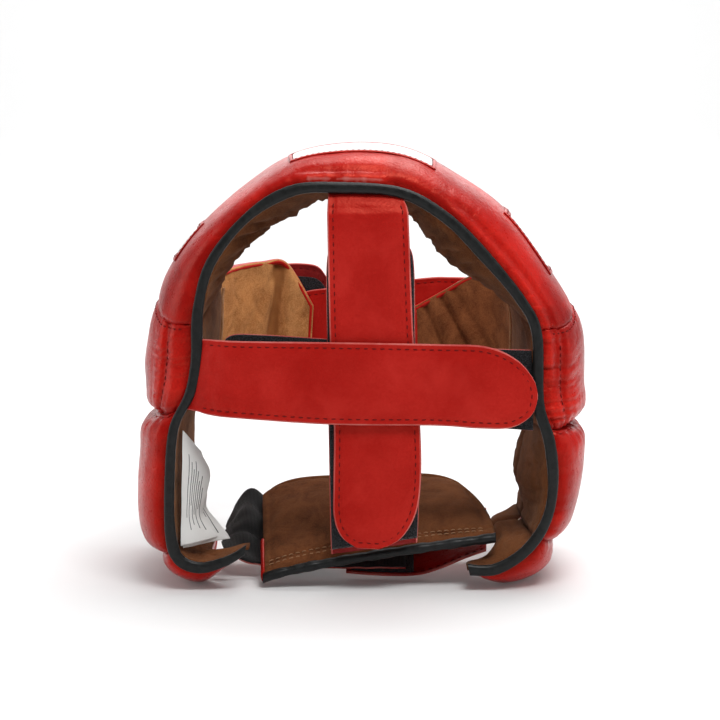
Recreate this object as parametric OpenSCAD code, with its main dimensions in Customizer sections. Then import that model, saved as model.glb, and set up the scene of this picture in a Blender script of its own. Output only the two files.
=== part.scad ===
/* [Head opening] */
// Width scale of the crown opening, 1 gives the standard adult size
girth = 1; // [0.98:0.01:1]
// Height of the forehead pad, from crown edge to brow edge
brow_h = 88; // [80:1:92]
// Height of the ear pads, from crown edge to jaw
ear_h = 150; // [148:1:150]
// Height of the rear wings, from crown edge to nape
wing_h = 128; // [122:1:132]

/* [Padding] */
// Leather thickness
leather = 1.4; // [1.2:0.1:1.6]
// Suede lining thickness
suede = 1.3; // [1.1:0.1:1.5]
// Total thickness of the sewn edges
edge_t = 5.2; // [5:0.1:5.6]
// How much thinner the pads are where they are pinched together
pinch = 0.34; // [0.2:0.02:0.4]
// Half length of the ear holes, along the ear pad
ear_hole_l = 25; // [20:1:27]
// Half width of the ear holes, as a share of an outline step
ear_hole_w = 0.42; // [0.3:0.02:0.45]

/* [Straps] */
// Thickness of the strap leather
strap_t = 1.8; // [1.4:0.1:1.8]
// Thickness of the hook and loop tapes
tape_t = 1.2; // [0.9:0.1:1.2]
// How far a tape is set in from the edge of its strap
tape_inset = 1.5; // [1:0.5:3]
// Width of the black binding around the crown opening
binding_w = 6; // [5:0.2:6]

/* [Hidden] */
// Crown opening, as points (x, z) around the rim, from the left nape over the brow to the right nape
RIM = [[-60, 22], [-70, 16], [-84, 12.5], [-95, 17.5], [-99, 32], [-99, 60], [-96.5, 86], [-88, 104],
       [-84.7, 122], [-83.5, 148], [-76.5, 172], [-58, 194.5], [-35, 208], [-10, 209.5], [20, 207],
       [43, 194.5], [62, 176], [82, 152], [90.5, 134], [91.3, 100], [97.5, 78], [99.5, 55], [95.5, 36],
       [85, 21], [70, 11.8], [56, 11.5]];
// Outside of the padding, one point (x, z) for each rim point
OUT = [[-61, 17.4], [-71.5, 9.3], [-86, -1.3], [-104.5, 8], [-117.8, 28], [-119.7, 52], [-117, 80],
       [-114, 100], [-115.5, 118], [-109, 148], [-98, 173], [-76, 198], [-43, 223], [-12, 231.7], [22, 230],
       [51, 216], [79, 195], [106, 157], [118, 134], [119.5, 102], [119, 80], [119.3, 60], [114, 36],
       [99, 7], [77, -1.3], [57, 6.8]];
// Rim positions where the panels meet: corner, wing, ear, brow, ear, wing, corner
T_CORNER_L = 3.35;
T_WING_L = 6.45;
T_EAR_L = 9.1;
T_EAR_R = 17.35;
T_WING_R = 19.7;
T_CORNER_R = 22.5;
T_END = len(RIM) - 1;
SEAM = 0.012;
PINCH_W = 0.2;
// Depths measured back from the crown edge
edge_y = 1;
near_y = -9.5;
far_y = 216.5;
mid_y = (near_y + far_y) / 2;
corner_h = 110;
hole_y = 95;
roll_near = 46;
roll_far = 30;
gap = 0.12;
half_edge = edge_t / 2;
skin_t = leather + 0.6;
band_y0 = 32;
band_y1 = 85;

RED = [0.69, 0.11, 0.10];
DARK_RED = [0.45, 0.07, 0.08];
SUEDE = [0.42, 0.25, 0.14];
FOAM = [0.85, 0.82, 0.70];
BLACK = [0.09, 0.09, 0.10];
WHITE = [0.90, 0.89, 0.87];

// ---- curves ----
function blend4(a, b, c, d, f) =
    0.5 * (2 * b + (c - a) * f + (2 * a - 5 * b + 4 * c - d) * f * f + (3 * b - a - 3 * c + d) * f * f * f);
// A smooth curve through the points P, where whole values of t are the points themselves
function curve(P, t) =
    let(n = len(P) - 1, i = max(0, min(floor(t), n - 1)))
    blend4(P[max(i - 1, 0)], P[i], P[i + 1], P[min(i + 2, n)], t - i);
function unit(v) = v / norm(v);
function mix(a, b, f) = a + (b - a) * f;
function step01(f) = let(g = max(0, min(1, f))) g * g * (3 - 2 * g);
// Sample places from 0 to 1, closer together at both ends
function spread(n) = [for (i = [0:n - 1]) (1 - cos(180 * i / (n - 1))) / 2];
function even(n) = [for (i = [0:n - 1]) i / (n - 1)];

function rim_at(t) = let(p = curve(RIM, t)) [p[0] * girth, p[1]];
function out_at(t) = curve(OUT, t);
function away(t) = unit(out_at(t) - rim_at(t));
function bump(t, c, w) = exp(-pow((t - c) / w, 2));
function pinched(t) =
    1 - pinch * (bump(t, T_CORNER_L, PINCH_W) + bump(t, T_WING_L, PINCH_W)
                 + bump(t, T_WING_R, PINCH_W) + bump(t, T_CORNER_R, PINCH_W));
// Full thickness outside the rim
function pad_t(t) = norm(out_at(t) - rim_at(t)) * pinched(t);
// Rounded rise from the crown edge and fall to the far edge
function roll(y, y1) =
    let(a = min((y - edge_y) / roll_near, 1), b = min((y1 - y) / roll_far, 1))
    sqrt(max(0, 1 - pow(1 - a, 2.2))) * sqrt(max(0, 1 - pow(1 - b, 2.2)));
// How far the lining swells inward: most at the upper sides
function swell(t) = 2.5 + 6.5 * bump(t, 10.6, 1.2) + 8 * bump(t, 16, 1.3) + 4.5 * bump(t, 21, 0.9);
function outer_h(t, y, y1) = half_edge + (pad_t(t) - half_edge) * roll(y, y1);
function inner_h(t, y, y1) =
    -half_edge - swell(t) * pow(max(0, sin(180 * (y - edge_y) / (y1 - edge_y))), 0.8);
// A point of the wall; the undersides are flat where they rest on the floor
function wall(t, y, h) = let(p = rim_at(t) + away(t) * h) [p[0], y, max(0, p[1])];

// ---- solids from two matching grids of points ----
// A closed solid, moved so that the origin is under the middle of the headgear
module closed(points, faces) polyhedron([for (p = points) p - [0, mid_y, 0]], faces);
function grid_faces(nu, nv, o, flip) =
    [for (i = [0:nu - 2], j = [0:nv - 2])
        let(a = o + i * nv + j, b = a + nv)
        each (flip ? [[a, a + 1, b + 1], [a, b + 1, b]] : [[a, b + 1, a + 1], [a, b, b + 1]])];
function strip(p, q, flip) =
    [for (k = [0:len(p) - 2])
        each (flip ? [[p[k], p[k + 1], q[k + 1]], [p[k], q[k + 1], q[k]]]
                   : [[p[k], q[k + 1], p[k + 1]], [p[k], q[k], q[k + 1]]])];
// Closed slab between the grid "top" and the grid "under", each nu by nv points
module slab(top, under) {
    nu = len(top);
    nv = len(top[0]);
    n = nu * nv;
    points = concat([for (r = top) each r], [for (r = under) each r]);
    low = [for (i = [0:nu - 1]) i * nv];
    high = [for (i = [0:nu - 1]) i * nv + nv - 1];
    first = [for (j = [0:nv - 1]) j];
    last = [for (j = [0:nv - 1]) (nu - 1) * nv + j];
    shift = function(list) [for (k = list) k + n];
    faces = concat(grid_faces(nu, nv, 0, false), grid_faces(nu, nv, n, true),
                   strip(low, shift(low), false), strip(high, shift(high), true),
                   strip(first, shift(first), true), strip(last, shift(last), false));
    closed(points, faces);
}

// ---- padded panels around the rim ----
// A panel is [t0, t1, depth, rows around, rows deep]
function hole_cut(y) = ear_hole_w * sqrt(max(0, 1 - pow((y - hole_y) / ear_hole_l, 2)));
// The nape corners are narrower away from the crown edge, to let the rear straps in
function nape_cut(y) = step01((y - 8) / 22);
function t_low(p, y) =
    p == T_WING_L ? T_WING_L + SEAM + hole_cut(y)
    : p == T_WING_R ? T_WING_R + SEAM + hole_cut(y)
    : p == 0 ? 1.75 * nape_cut(y)
    : p + SEAM;
function t_high(p, y) =
    p == T_WING_L ? T_WING_L - SEAM - hole_cut(y)
    : p == T_WING_R ? T_WING_R - SEAM - hole_cut(y)
    : p == T_END ? T_END - 1.35 * nape_cut(y)
    : p - SEAM;
function sheet(P, h_of) =
    [for (u = spread(P[3]))
        [for (v = spread(P[4]))
            let(y = mix(edge_y, P[2], v), t = mix(t_low(P[0], y), t_high(P[1], y), u))
            wall(t, y, h_of(t, y, P[2]))]];
function above(d) = function(t, y, y1) outer_h(t, y, y1) + d;
function below(d) = function(t, y, y1) inner_h(t, y, y1) + d;

module cover(P) color(RED) slab(sheet(P, above(0)), sheet(P, above(-skin_t)));
module foam(P) color(FOAM) slab(sheet(P, above(-skin_t - gap)), sheet(P, below(suede + gap)));
module lining(P) color(SUEDE) slab(sheet(P, below(suede)), sheet(P, below(0)));

LEFT_CORNER = [0, T_CORNER_L, corner_h, 10, 9];
LEFT_WING = [T_CORNER_L, T_WING_L, wing_h, 11, 11];
LEFT_EAR = [T_WING_L, T_EAR_L, ear_h, 9, 12];
FOREHEAD = [T_EAR_L, T_EAR_R, brow_h, 27, 9];
RIGHT_EAR = [T_EAR_R, T_WING_R, ear_h, 9, 12];
RIGHT_WING = [T_WING_R, T_CORNER_R, wing_h, 11, 11];
RIGHT_CORNER = [T_CORNER_R, T_END, corner_h, 9, 9];

module forehead_cover() cover(FOREHEAD);
module forehead_foam() foam(FOREHEAD);
module forehead_lining() lining(FOREHEAD);
module left_ear_cover() cover(LEFT_EAR);
module left_ear_foam() foam(LEFT_EAR);
module left_ear_lining() lining(LEFT_EAR);
module right_ear_cover() cover(RIGHT_EAR);
module right_ear_foam() foam(RIGHT_EAR);
module right_ear_lining() lining(RIGHT_EAR);
module left_wing_cover() cover(LEFT_WING);
module left_wing_foam() foam(LEFT_WING);
module left_wing_lining() lining(LEFT_WING);
module right_wing_cover() cover(RIGHT_WING);
module right_wing_foam() foam(RIGHT_WING);
module right_wing_lining() lining(RIGHT_WING);
module left_corner_cover() cover(LEFT_CORNER);
module left_corner_foam() foam(LEFT_CORNER);
module left_corner_lining() lining(LEFT_CORNER);
module right_corner_cover() cover(RIGHT_CORNER);
module right_corner_foam() foam(RIGHT_CORNER);
module right_corner_lining() lining(RIGHT_CORNER);

// Black binding that closes the crown edge of all the panels
module crown_binding() {
    w = binding_w / 2;
    ring = [[-w, 0.7], [-w, -1.6], [-w + 1.4, -3], [w - 1.4, -3], [w, -1.6], [w, 0.7]];
    n = 76;
    rows = [for (i = [0:n - 1]) [for (k = ring) wall(T_END * i / (n - 1), k[1], k[0])]];
    m = len(ring);
    sides = [for (i = [0:n - 2], k = [0:m - 1])
        let(a = i * m + k, b = i * m + (k + 1) % m) each [[a, b, b + m], [a, b + m, a + m]]];
    caps = [[for (k = [m - 1:-1:0]) k], [for (k = [0:m - 1]) (n - 1) * m + k]];
    color(BLACK) closed([for (r = rows) each r], concat(sides, caps));
}

// Sewn-on patches that follow the outside of the forehead pad
module patch(t0, t1, y0, y1, n) {
    lift = function(d) [for (u = even(n)) [for (v = even(6))
        let(t = mix(t0, t1, u), y = mix(y0, y1, v)) wall(t, y, outer_h(t, y, brow_h) + d)]];
    color(WHITE) slab(lift(1.2), lift(0.2));
}
module forehead_patch() patch(12.15, 14.6, 14, 62, 12);
module left_temple_patch() patch(9.35, 10.1, 14, 58, 5);
module right_temple_patch() patch(16.4, 17.1, 14, 58, 5);

// ---- flat straps between two edge curves ----
// Straps are swept between the edge curves A and B; sides are offsets along the strap's own normal
function normal_at(A, B, t) =
    let(m = len(A) - 1, t0 = max(t - 0.05, 0), t1 = min(t + 0.05, m),
        along = curve(A, t1) + curve(B, t1) - curve(A, t0) - curve(B, t0),
        across = curve(B, min(t, m - 0.2)) - curve(A, min(t, m - 0.2)))
    unit(cross(along, across));
function strap_side(A, B, t0, t1, n, inset, d) =
    [for (u = even(n))
        let(t = mix(t0, t1, u), a = curve(A, t), b = curve(B, t),
            w = unit(b - a) * inset, s = normal_at(A, B, t) * d)
        [a + w + s, mix(a, b, 0.5) + s, b - w + s]];
module strap(A, B, d0, d1, n = 26, inset = 0, t0 = 0, t1 = -1) {
    end = t1 < 0 ? len(A) - 1 : t1;
    slab(strap_side(A, B, t0, end, n, inset, d1), strap_side(A, B, t0, end, n, inset, d0));
}
// Thickness bands across a strap: leather on one side, tape on the other
half = strap_t / 2;
tape_a = half + 0.05;
tape_b = tape_a + tape_t;

// Cross strap: sewn to the left rim, closes over the loop strap at the right
CROSS_A = [[-78, -2.6, 132], [-72.4, -5.2, 131.8], [-60, -8.2, 131.5], [-16, -8.6, 131], [40, -8.6, 130],
           [61, -8.6, 129], [76, -8.6, 124], [86, -8.6, 114.5], [90, -8.6, 105.5]];
CROSS_B = [[-83.9, -2.6, 94.5], [-78.4, -5.2, 93.2], [-66, -8.2, 92], [-16, -8.6, 88.6], [38, -8.6, 88],
           [57, -8.6, 86.8], [73, -8.6, 87], [85, -8.6, 92.5], [90, -8.6, 101.5]];
module cross_strap_leather() color(RED) strap(CROSS_A, CROSS_B, -half, half, 34);
module cross_strap_hook() color(BLACK) strap(CROSS_A, CROSS_B, tape_a, tape_b, 16, tape_inset, 3.4, 7.6);

// Loop strap: sewn to the right rim, lies innermost
LOOP_A = [[86.6, 2.9, 126], [60, 2.9, 127], [0, 2.9, 129], [-50, 2.9, 131.5], [-68, 2.9, 131.5],
          [-73, 2.9, 124]];
LOOP_B = [[86.6, 2.9, 84], [60, 2.9, 86], [0, 2.9, 90], [-50, 2.9, 91], [-68, 2.9, 93], [-73, 2.9, 101]];
module cross_loop_leather() color(RED) strap(LOOP_A, LOOP_B, -half, half - 0.5, 20);
module cross_loop_tape() color(BLACK)
    strap(LOOP_A, LOOP_B, tape_a - 0.5, tape_b - 0.5, 16, tape_inset, 0, 4.6);

// Front strap: sewn to the brow rim, hangs over its loop strap
FRONT_A = [[-17, -1.4, 201.8], [-17.2, -3.6, 198], [-17.2, -4.9, 190], [-16, -4.9, 131.6], [-14, -4.9, 87.6],
           [-14.2, -4.9, 58], [-14, -4.9, 40], [-10, -4.9, 29.5], [-2, -4.9, 23.6]];
FRONT_B = [[22.6, -1.4, 201.4], [24, -3.6, 198], [24.5, -4.9, 190], [27, -4.9, 131.6], [30.5, -4.9, 87.6],
           [31, -4.9, 60], [28.5, -4.9, 42], [20.5, -4.9, 28.5], [9, -4.9, 23]];
module front_strap_leather() color(RED) strap(FRONT_A, FRONT_B, -half + 0.2, half - 0.2, 34);
module front_strap_hook() color(BLACK)
    strap(FRONT_A, FRONT_B, 0.2 - tape_b, 0.15 - half, 16, tape_inset, 3.2, 7.6);

// Loop strap of the front strap: sewn to the crown edge of the rear pad
UP_A = [[-17.5, -1.2, 187], [-17.5, -1.2, 130], [-16.5, -1.2, 70], [-16, -1.2, 38], [-15.5, 4.6, 18.6]];
UP_B = [[26.5, -1.2, 188], [28, -1.2, 130], [30, -1.2, 70], [30, -1.2, 44], [29.5, 4.6, 24.8]];
module front_loop_leather() color(DARK_RED) strap(UP_A, UP_B, -1.3, 0.1, 20);
module front_loop_tape() color(BLACK) strap(UP_A, UP_B, 0.15, 1.2, 20, 0, 0, 3.9);

// ---- rear pad, on the end of the front loop strap ----
function pad_mid(u, v) =
    let(x = mix(-51 - 4 * v, 70 - 15 * v * v, u), y = mix(8, 95 - 9 * pow(abs(2 * u - 1), 4), v),
        zn = 4.9 + 21.6 * pow(u, 0.75), zf = 43 + 3 * u - 5 * pow(abs(2 * u - 1), 6))
    [x, y, mix(zn, zf, pow(v, 0.8))];
function pad_half(u, v) = 1.9 + 3.7 * (1 - pow(abs(2 * u - 1), 3)) * (1 - pow(abs(2 * v - 1), 3));
function pad_sheet(side, d) =
    [for (u = even(14)) [for (v = spread(9)) pad_mid(u, v) + [0, 0, side * pad_half(u, v) + d]]];
module rear_pad_cover() color(RED) slab(pad_sheet(-1, 1.1), pad_sheet(-1, 0));
module rear_pad_foam() color(FOAM) slab(pad_sheet(1, -1.1 - gap), pad_sheet(-1, 1.1 + gap));
module rear_pad_lining() color(SUEDE) slab(pad_sheet(1, 0), pad_sheet(1, -1.1));
module rear_pad_binding() {
    row = function(dy, dz) [for (u = even(14)) pad_mid(u, 0) + [0, dy, dz]];
    rows = function(dz) [row(-0.2, dz), row(-2.6, dz * 0.7)];
    color(BLACK) slab(rows(-2.5), rows(2.5));
}

// ---- rear closure under the pad: elastic side at the left, hook side at the right ----
ELASTIC_A = [[-74, band_y0, 17], [-64, band_y0, 10], [-50, band_y0, 7.2], [-20, band_y0, 6.4],
             [24, band_y0, 6.4]];
ELASTIC_B = [[-72, band_y1, 32], [-62, band_y1, 32.5], [-50, band_y1, 32.5], [-20, band_y1, 33.4],
             [24, band_y1, 33.4]];
module rear_elastic() color(BLACK) strap(ELASTIC_A, ELASTIC_B, -0.6, 0.6, 22);
module rear_elastic_backing() color(RED) strap(ELASTIC_A, ELASTIC_B, -1.6, -0.65, 22);
module rear_elastic_loop() color(BLACK) strap(ELASTIC_A, ELASTIC_B, -2.5, -1.65, 14, tape_inset, 2, 4);

BAND_A = [[67, band_y0, 15.5], [56, band_y0, 11.5], [42, band_y0, 5.5], [30, band_y0, 2.2],
          [12, band_y0, 1.9], [-8, band_y0 + 2, 2.9]];
BAND_B = [[69, band_y1, 38], [56, band_y1, 33.5], [42, band_y1, 30.5], [30, band_y1, 28.8],
          [12, band_y1, 28.5], [-8, band_y1 - 2, 27.5]];
module rear_band_leather() color(RED) strap(BAND_A, BAND_B, -0.2, 1, 22);
module rear_band_hook() color(BLACK) strap(BAND_A, BAND_B, -1.05, -0.25, 14, tape_inset, 3.1, 4.8);

// ---- jaw flaps: from the far edge of the ear pads round to the chin ----
JAW_LA = [[-86, 151.4, 150], [-86, 168, 155], [-76, 188, 158], [-60, 199, 160], [-45, 203, 159],
          [-29, 204.5, 133]];
JAW_LB = [[-94, 151.4, 95], [-91, 168, 85], [-80, 188, 77], [-62, 199, 75], [-46, 203, 79],
          [-31, 204.5, 100]];
JAW_RA = [[90, 151.4, 148], [90, 168, 153], [82, 188, 156], [66, 199, 151], [50, 203, 142],
          [32, 204.5, 132]];
JAW_RB = [[95, 151.4, 98], [92, 168, 87], [83, 188, 79], [65, 199, 77], [48, 203, 81], [33, 204.5, 99]];
jaw_t = 4;
module jaw_cover(A, B, s) color(RED) strap(A, B, s * (jaw_t - 1.3), s * jaw_t, 16);
module jaw_foam(A, B, s) color(FOAM) strap(A, B, s * (1.3 - jaw_t), s * (jaw_t - 1.4), 16);
module jaw_lining(A, B, s) color(SUEDE) strap(A, B, -s * jaw_t, -s * (jaw_t - 1.2), 16);
module left_jaw_cover() jaw_cover(JAW_LA, JAW_LB, 1);
module left_jaw_foam() jaw_foam(JAW_LA, JAW_LB, 1);
module left_jaw_lining() jaw_lining(JAW_LA, JAW_LB, 1);
module right_jaw_cover() jaw_cover(JAW_RA, JAW_RB, -1);
module right_jaw_foam() jaw_foam(JAW_RA, JAW_RB, -1);
module right_jaw_lining() jaw_lining(JAW_RA, JAW_RB, -1);

// ---- chin strap from the right flap, held by the tab on the left flap ----
CHIN_A = [[66, 205.2, 150], [54, 209.2, 150], [40, 210.6, 149.5], [-10, 210.8, 144],
          [-34, 210.8, 141], [-38, 210.8, 134]];
CHIN_B = [[66, 205.2, 112], [54, 209.2, 112], [40, 210.6, 112], [-10, 210.8, 112], [-34, 210.8, 114],
          [-38, 210.8, 121]];
module chin_strap_leather() color(RED) strap(CHIN_A, CHIN_B, -half, half - 0.2);
module chin_strap_hook() color(BLACK) strap(CHIN_A, CHIN_B, -tape_b + 0.1, -tape_a, 10, tape_inset, 3, 4.8);

TAB_A = [[-66, 204.6, 156], [-58, 210.2, 158], [-48, 214.4, 158], [-36, 215.8, 158],
         [-26, 215.8, 156], [-20, 215.8, 148]];
TAB_B = [[-66, 204.6, 118], [-58, 210.2, 118], [-48, 214.4, 118], [-36, 215.8, 118],
         [-26, 215.8, 122], [-20, 215.8, 134]];
module chin_tab_leather() color(DARK_RED) strap(TAB_A, TAB_B, -half + 0.1, half - 0.2);
module chin_tab_loop() color(BLACK) strap(TAB_A, TAB_B, -half - 0.8, -half + 0.05, 10, 8, 2.6, 4.7);

// Folded care label sewn into the left rim
LABEL_A = [[-89.2, 3.5, 92], [-85.5, 16, 93], [-80, 30, 90]];
LABEL_B = [[-91.5, 3.5, 34], [-84, 16, 32], [-74, 30, 30]];
module care_label() {
    color(WHITE) strap(LABEL_A, LABEL_B, -0.15, 0.15, 6);
    color(WHITE) strap(LABEL_A, LABEL_B, 0.35, 0.65, 6);
}

forehead_cover();
forehead_foam();
forehead_lining();
left_ear_cover();
left_ear_foam();
left_ear_lining();
right_ear_cover();
right_ear_foam();
right_ear_lining();
left_wing_cover();
left_wing_foam();
left_wing_lining();
right_wing_cover();
right_wing_foam();
right_wing_lining();
left_corner_cover();
left_corner_foam();
left_corner_lining();
right_corner_cover();
right_corner_foam();
right_corner_lining();
crown_binding();
forehead_patch();
left_temple_patch();
right_temple_patch();
left_jaw_cover();
left_jaw_foam();
left_jaw_lining();
right_jaw_cover();
right_jaw_foam();
right_jaw_lining();
cross_strap_leather();
cross_strap_hook();
cross_loop_leather();
cross_loop_tape();
front_strap_leather();
front_strap_hook();
front_loop_leather();
front_loop_tape();
rear_pad_cover();
rear_pad_foam();
rear_pad_lining();
rear_pad_binding();
rear_elastic();
rear_elastic_backing();
rear_elastic_loop();
rear_band_leather();
rear_band_hook();
chin_strap_leather();
chin_strap_hook();
chin_tab_leather();
chin_tab_loop();
care_label();
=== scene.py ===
"""Looks of the boxing headgear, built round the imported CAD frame.

Shapes are worked out in millimetres in the design frame of the CAD: x across, y back from the crown edge
(y = 0 there), z up. mesh_object() moves them to the row frame, in metres.
"""
import math
import bpy
import numpy as np
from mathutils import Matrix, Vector, noise


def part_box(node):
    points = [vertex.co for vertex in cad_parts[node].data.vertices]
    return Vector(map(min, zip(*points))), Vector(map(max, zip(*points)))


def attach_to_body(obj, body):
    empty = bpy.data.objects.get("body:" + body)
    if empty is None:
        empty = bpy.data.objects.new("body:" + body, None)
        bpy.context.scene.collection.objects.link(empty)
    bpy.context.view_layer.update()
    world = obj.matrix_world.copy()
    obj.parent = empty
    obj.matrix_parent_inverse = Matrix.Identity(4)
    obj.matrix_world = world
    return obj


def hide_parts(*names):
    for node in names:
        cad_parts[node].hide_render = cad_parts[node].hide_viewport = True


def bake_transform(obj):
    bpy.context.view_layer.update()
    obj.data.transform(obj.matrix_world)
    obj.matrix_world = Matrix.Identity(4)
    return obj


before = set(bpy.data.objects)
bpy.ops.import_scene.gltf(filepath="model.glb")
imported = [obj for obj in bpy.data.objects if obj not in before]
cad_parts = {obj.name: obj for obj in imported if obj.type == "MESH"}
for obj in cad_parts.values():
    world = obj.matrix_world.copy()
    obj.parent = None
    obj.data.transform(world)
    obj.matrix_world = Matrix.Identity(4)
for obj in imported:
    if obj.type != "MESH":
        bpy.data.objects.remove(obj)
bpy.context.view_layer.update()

# ---------------------------------------------------------------- dimensions (mm)
EDGE_Y = 1.0   # where the padding starts, behind the binding
CROWN_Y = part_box("forehead_cover")[0].y * 1000 - EDGE_Y   # row y of the design's y = 0
# Crown opening and outside of the padding, as points (x, z), one pair for each whole value of t
RIM = [(-60, 22), (-70, 16), (-84, 12.5), (-95, 17.5), (-99, 32), (-99, 60), (-96.5, 86), (-88, 104),
       (-84.7, 122), (-83.5, 148), (-76.5, 172), (-58, 194.5), (-35, 208), (-10, 209.5), (20, 207),
       (43, 194.5), (62, 176), (82, 152), (90.5, 134), (91.3, 100), (97.5, 78), (99.5, 55), (95.5, 36),
       (85, 21), (70, 11.8), (56, 11.5)]
OUT = [(-61, 17.4), (-71.5, 9.3), (-86, -1.3), (-104.5, 8), (-117.8, 28), (-119.7, 52), (-117, 80),
       (-114, 100), (-115.5, 118), (-109, 148), (-98, 173), (-76, 198), (-43, 223), (-12, 231.7), (22, 230),
       (51, 216), (79, 195), (106, 157), (118, 134), (119.5, 102), (119, 80), (119.3, 60), (114, 36),
       (99, 7), (77, -1.3), (57, 6.8)]
# Seams between the pads, as values of t
T_CORNER_L, T_WING_L, T_EAR_L = 3.35, 6.45, 9.1
T_EAR_R, T_WING_R, T_CORNER_R = 17.35, 19.7, 22.5
T_END = len(RIM) - 1
SEAM_T = 0.001                          # half of a seam's gap, in t
EAR_SLANT_L, EAR_SLANT_R = 0.42, 0.55   # how far the forehead's seams lean at the crown edge, in t
HALF_EDGE = 2.6                         # half the thickness of the sewn crown edge
SKIN = 1.6                              # leather of the covers
SUEDE = 1.3                             # suede of the linings
PINCH, PINCH_W = 0.2, 0.22              # how much thinner the pads are at a seam, and over what t
ROLL_NEAR, ROLL_FAR = 46, 30            # depths of the rounding at the crown edge and at the far edge
HOLE_Y, HOLE_L, HOLE_W = 95, 25, 0.42   # ear holes: middle, half length, and half width in t
FLOOR_GAP = 0.02
STRAP_T = 1.8
TAPE_T = 1.2
STITCH_IN = 3.0                         # from a strap's edge to its stitches
STITCH_PITCH = 4.2


# ---------------------------------------------------------------- curves and small maths
def curve(points, t):
    """A smooth curve through the points, where whole values of t are the points themselves."""
    p = np.asarray(points, float)
    last = len(p) - 1
    t = np.asarray(t, float)
    i = np.clip(np.floor(t).astype(int), 0, last - 1)
    f = (t - i)[..., None]
    a, b, c, d = p[np.maximum(i - 1, 0)], p[i], p[i + 1], p[np.minimum(i + 2, last)]
    square, cube = 2 * a - 5 * b + 4 * c - d, 3 * b - a - 3 * c + d
    return 0.5 * (2 * b + (c - a) * f + square * f * f + cube * f ** 3)


def unit(v):
    return v / np.maximum(np.linalg.norm(v, axis=-1, keepdims=True), 1e-9)


def mix(a, b, f):
    return a + (b - a) * f


def step01(f):
    g = np.clip(f, 0, 1)
    return g * g * (3 - 2 * g)


def bump(x, centre, width):
    return np.exp(-((x - centre) / width) ** 2)


def noise_at(points, size, seed=0.0):
    """Smooth noise from -1 to 1 at points in mm, with features of the given size."""
    flat = np.asarray(points, float).reshape(-1, 3) / size + seed * 17.31
    values = np.array([noise.noise(p) for p in flat])
    return values.reshape(np.shape(points)[:-1])


def warp(x, seed):
    """x with its spacing made irregular."""
    slow, quick = 0.32 * np.sin(1.9 * x + seed), 0.21 * np.sin(4.3 * x + 2.7 * seed)
    return x + slow + quick + 0.1 * np.sin(9.1 * x + seed)


def pleats(x, seed):
    """Rounded bulges with sharp valleys between them, one for each unit of x, from 0 to 1."""
    return np.abs(np.sin(math.pi * warp(x, seed))) ** 0.7


def lengths(grid, axis):
    """Distance along the grid's lines from their first point."""
    steps = np.linalg.norm(np.diff(grid, axis=axis), axis=-1)
    start = np.zeros_like(np.take(steps, [0], axis=axis))
    return np.concatenate([start, np.cumsum(steps, axis=axis)], axis=axis)


def whole_length(line):
    return np.linalg.norm(np.diff(line, axis=0), axis=1).sum()


def spaced(profile, n):
    """n parameter values from 0 to 1 that are evenly spaced along a polyline."""
    far = lengths(profile, 0)
    return np.interp(np.linspace(0, far[-1], n), far, np.linspace(0, 1, len(profile)))


def ring_angles(n):
    return np.arange(n) * math.tau / n


# ---------------------------------------------------------------- meshes
def mesh_object(name, points, faces, material, edge=None, edge_faces=(), crease=None):
    """A smooth mesh object from design points in mm; the faces in edge_faces get the edge material."""
    row = (np.asarray(points, float) + [0, CROWN_Y, 0]) / 1000
    mesh = bpy.data.meshes.new(name)
    mesh.from_pydata(row.tolist(), [], [list(map(int, f)) for f in faces])
    mesh.materials.append(material)
    if edge is not None:
        mesh.materials.append(edge)
        for k in edge_faces:
            mesh.polygons[k].material_index = 1
    # crease: a value per point that the shaders turn into painted shade in hollows and painted highlight on
    # ridges
    if crease is not None:
        mesh.attributes.new("crease", "FLOAT", "POINT").data.foreach_set(
            "value", np.asarray(crease, np.float32).ravel())
    mesh.polygons.foreach_set("use_smooth", [True] * len(mesh.polygons))
    mesh.update()
    obj = bpy.data.objects.new(name, mesh)
    bpy.context.scene.collection.objects.link(obj)
    return obj


def grid_faces(nu, nv, start, flip, wrap=False):
    """Quads of a grid whose points are stored row by row; wrap closes it across v."""
    i, j = np.meshgrid(np.arange(nu - 1), np.arange(nv if wrap else nv - 1), indexing="ij")
    a = start + i * nv + j
    b = start + i * nv + (j + 1) % nv
    quads = np.stack([a, b, b + nv, a + nv] if flip else [a, a + nv, b + nv, b], -1)
    return quads.reshape(-1, 4)


def slab(name, top, under, material, edge=None, crease=None):
    """A closed piece between two matching grids of points."""
    nu, nv = top.shape[:2]
    n = nu * nv
    faces = [grid_faces(nu, nv, 0, False), grid_faces(nu, nv, n, True)]
    low, high = np.arange(nu) * nv, np.arange(nu) * nv + nv - 1
    first, last = np.arange(nv), (nu - 1) * nv + np.arange(nv)
    sides = []
    for ring, flip in ((low, True), (high, False), (first, False), (last, True)):
        a, b = ring[:-1], ring[1:]
        quad = [a, b, b + n, a + n] if flip else [b, a, a + n, b + n]
        sides.append(np.stack(quad, -1)[:, ::-1])
    count = len(faces[0]) + len(faces[1])
    faces = np.concatenate(faces + sides)
    points = np.concatenate([top.reshape(-1, 3), under.reshape(-1, 3)])
    if crease is not None:
        crease = np.concatenate([crease.ravel(), crease.ravel()])
    return mesh_object(name, points, faces, material, edge, range(count, len(faces)), crease)


def tube(name, rings, material):
    """A swept piece with closed ends: rings is (stations, points round, 3)."""
    nu, nv = rings.shape[:2]
    faces = grid_faces(nu, nv, 0, False, wrap=True).tolist()
    faces.append(list(range(nv)))
    faces.append([(nu - 1) * nv + k for k in range(nv - 1, -1, -1)])
    return mesh_object(name, rings.reshape(-1, 3), faces, material)


def normals_of(grid):
    """Unit normals of a grid of points."""
    du = np.gradient(grid, axis=0)
    dv = np.gradient(grid, axis=1)
    return unit(np.cross(du, dv))


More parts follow.
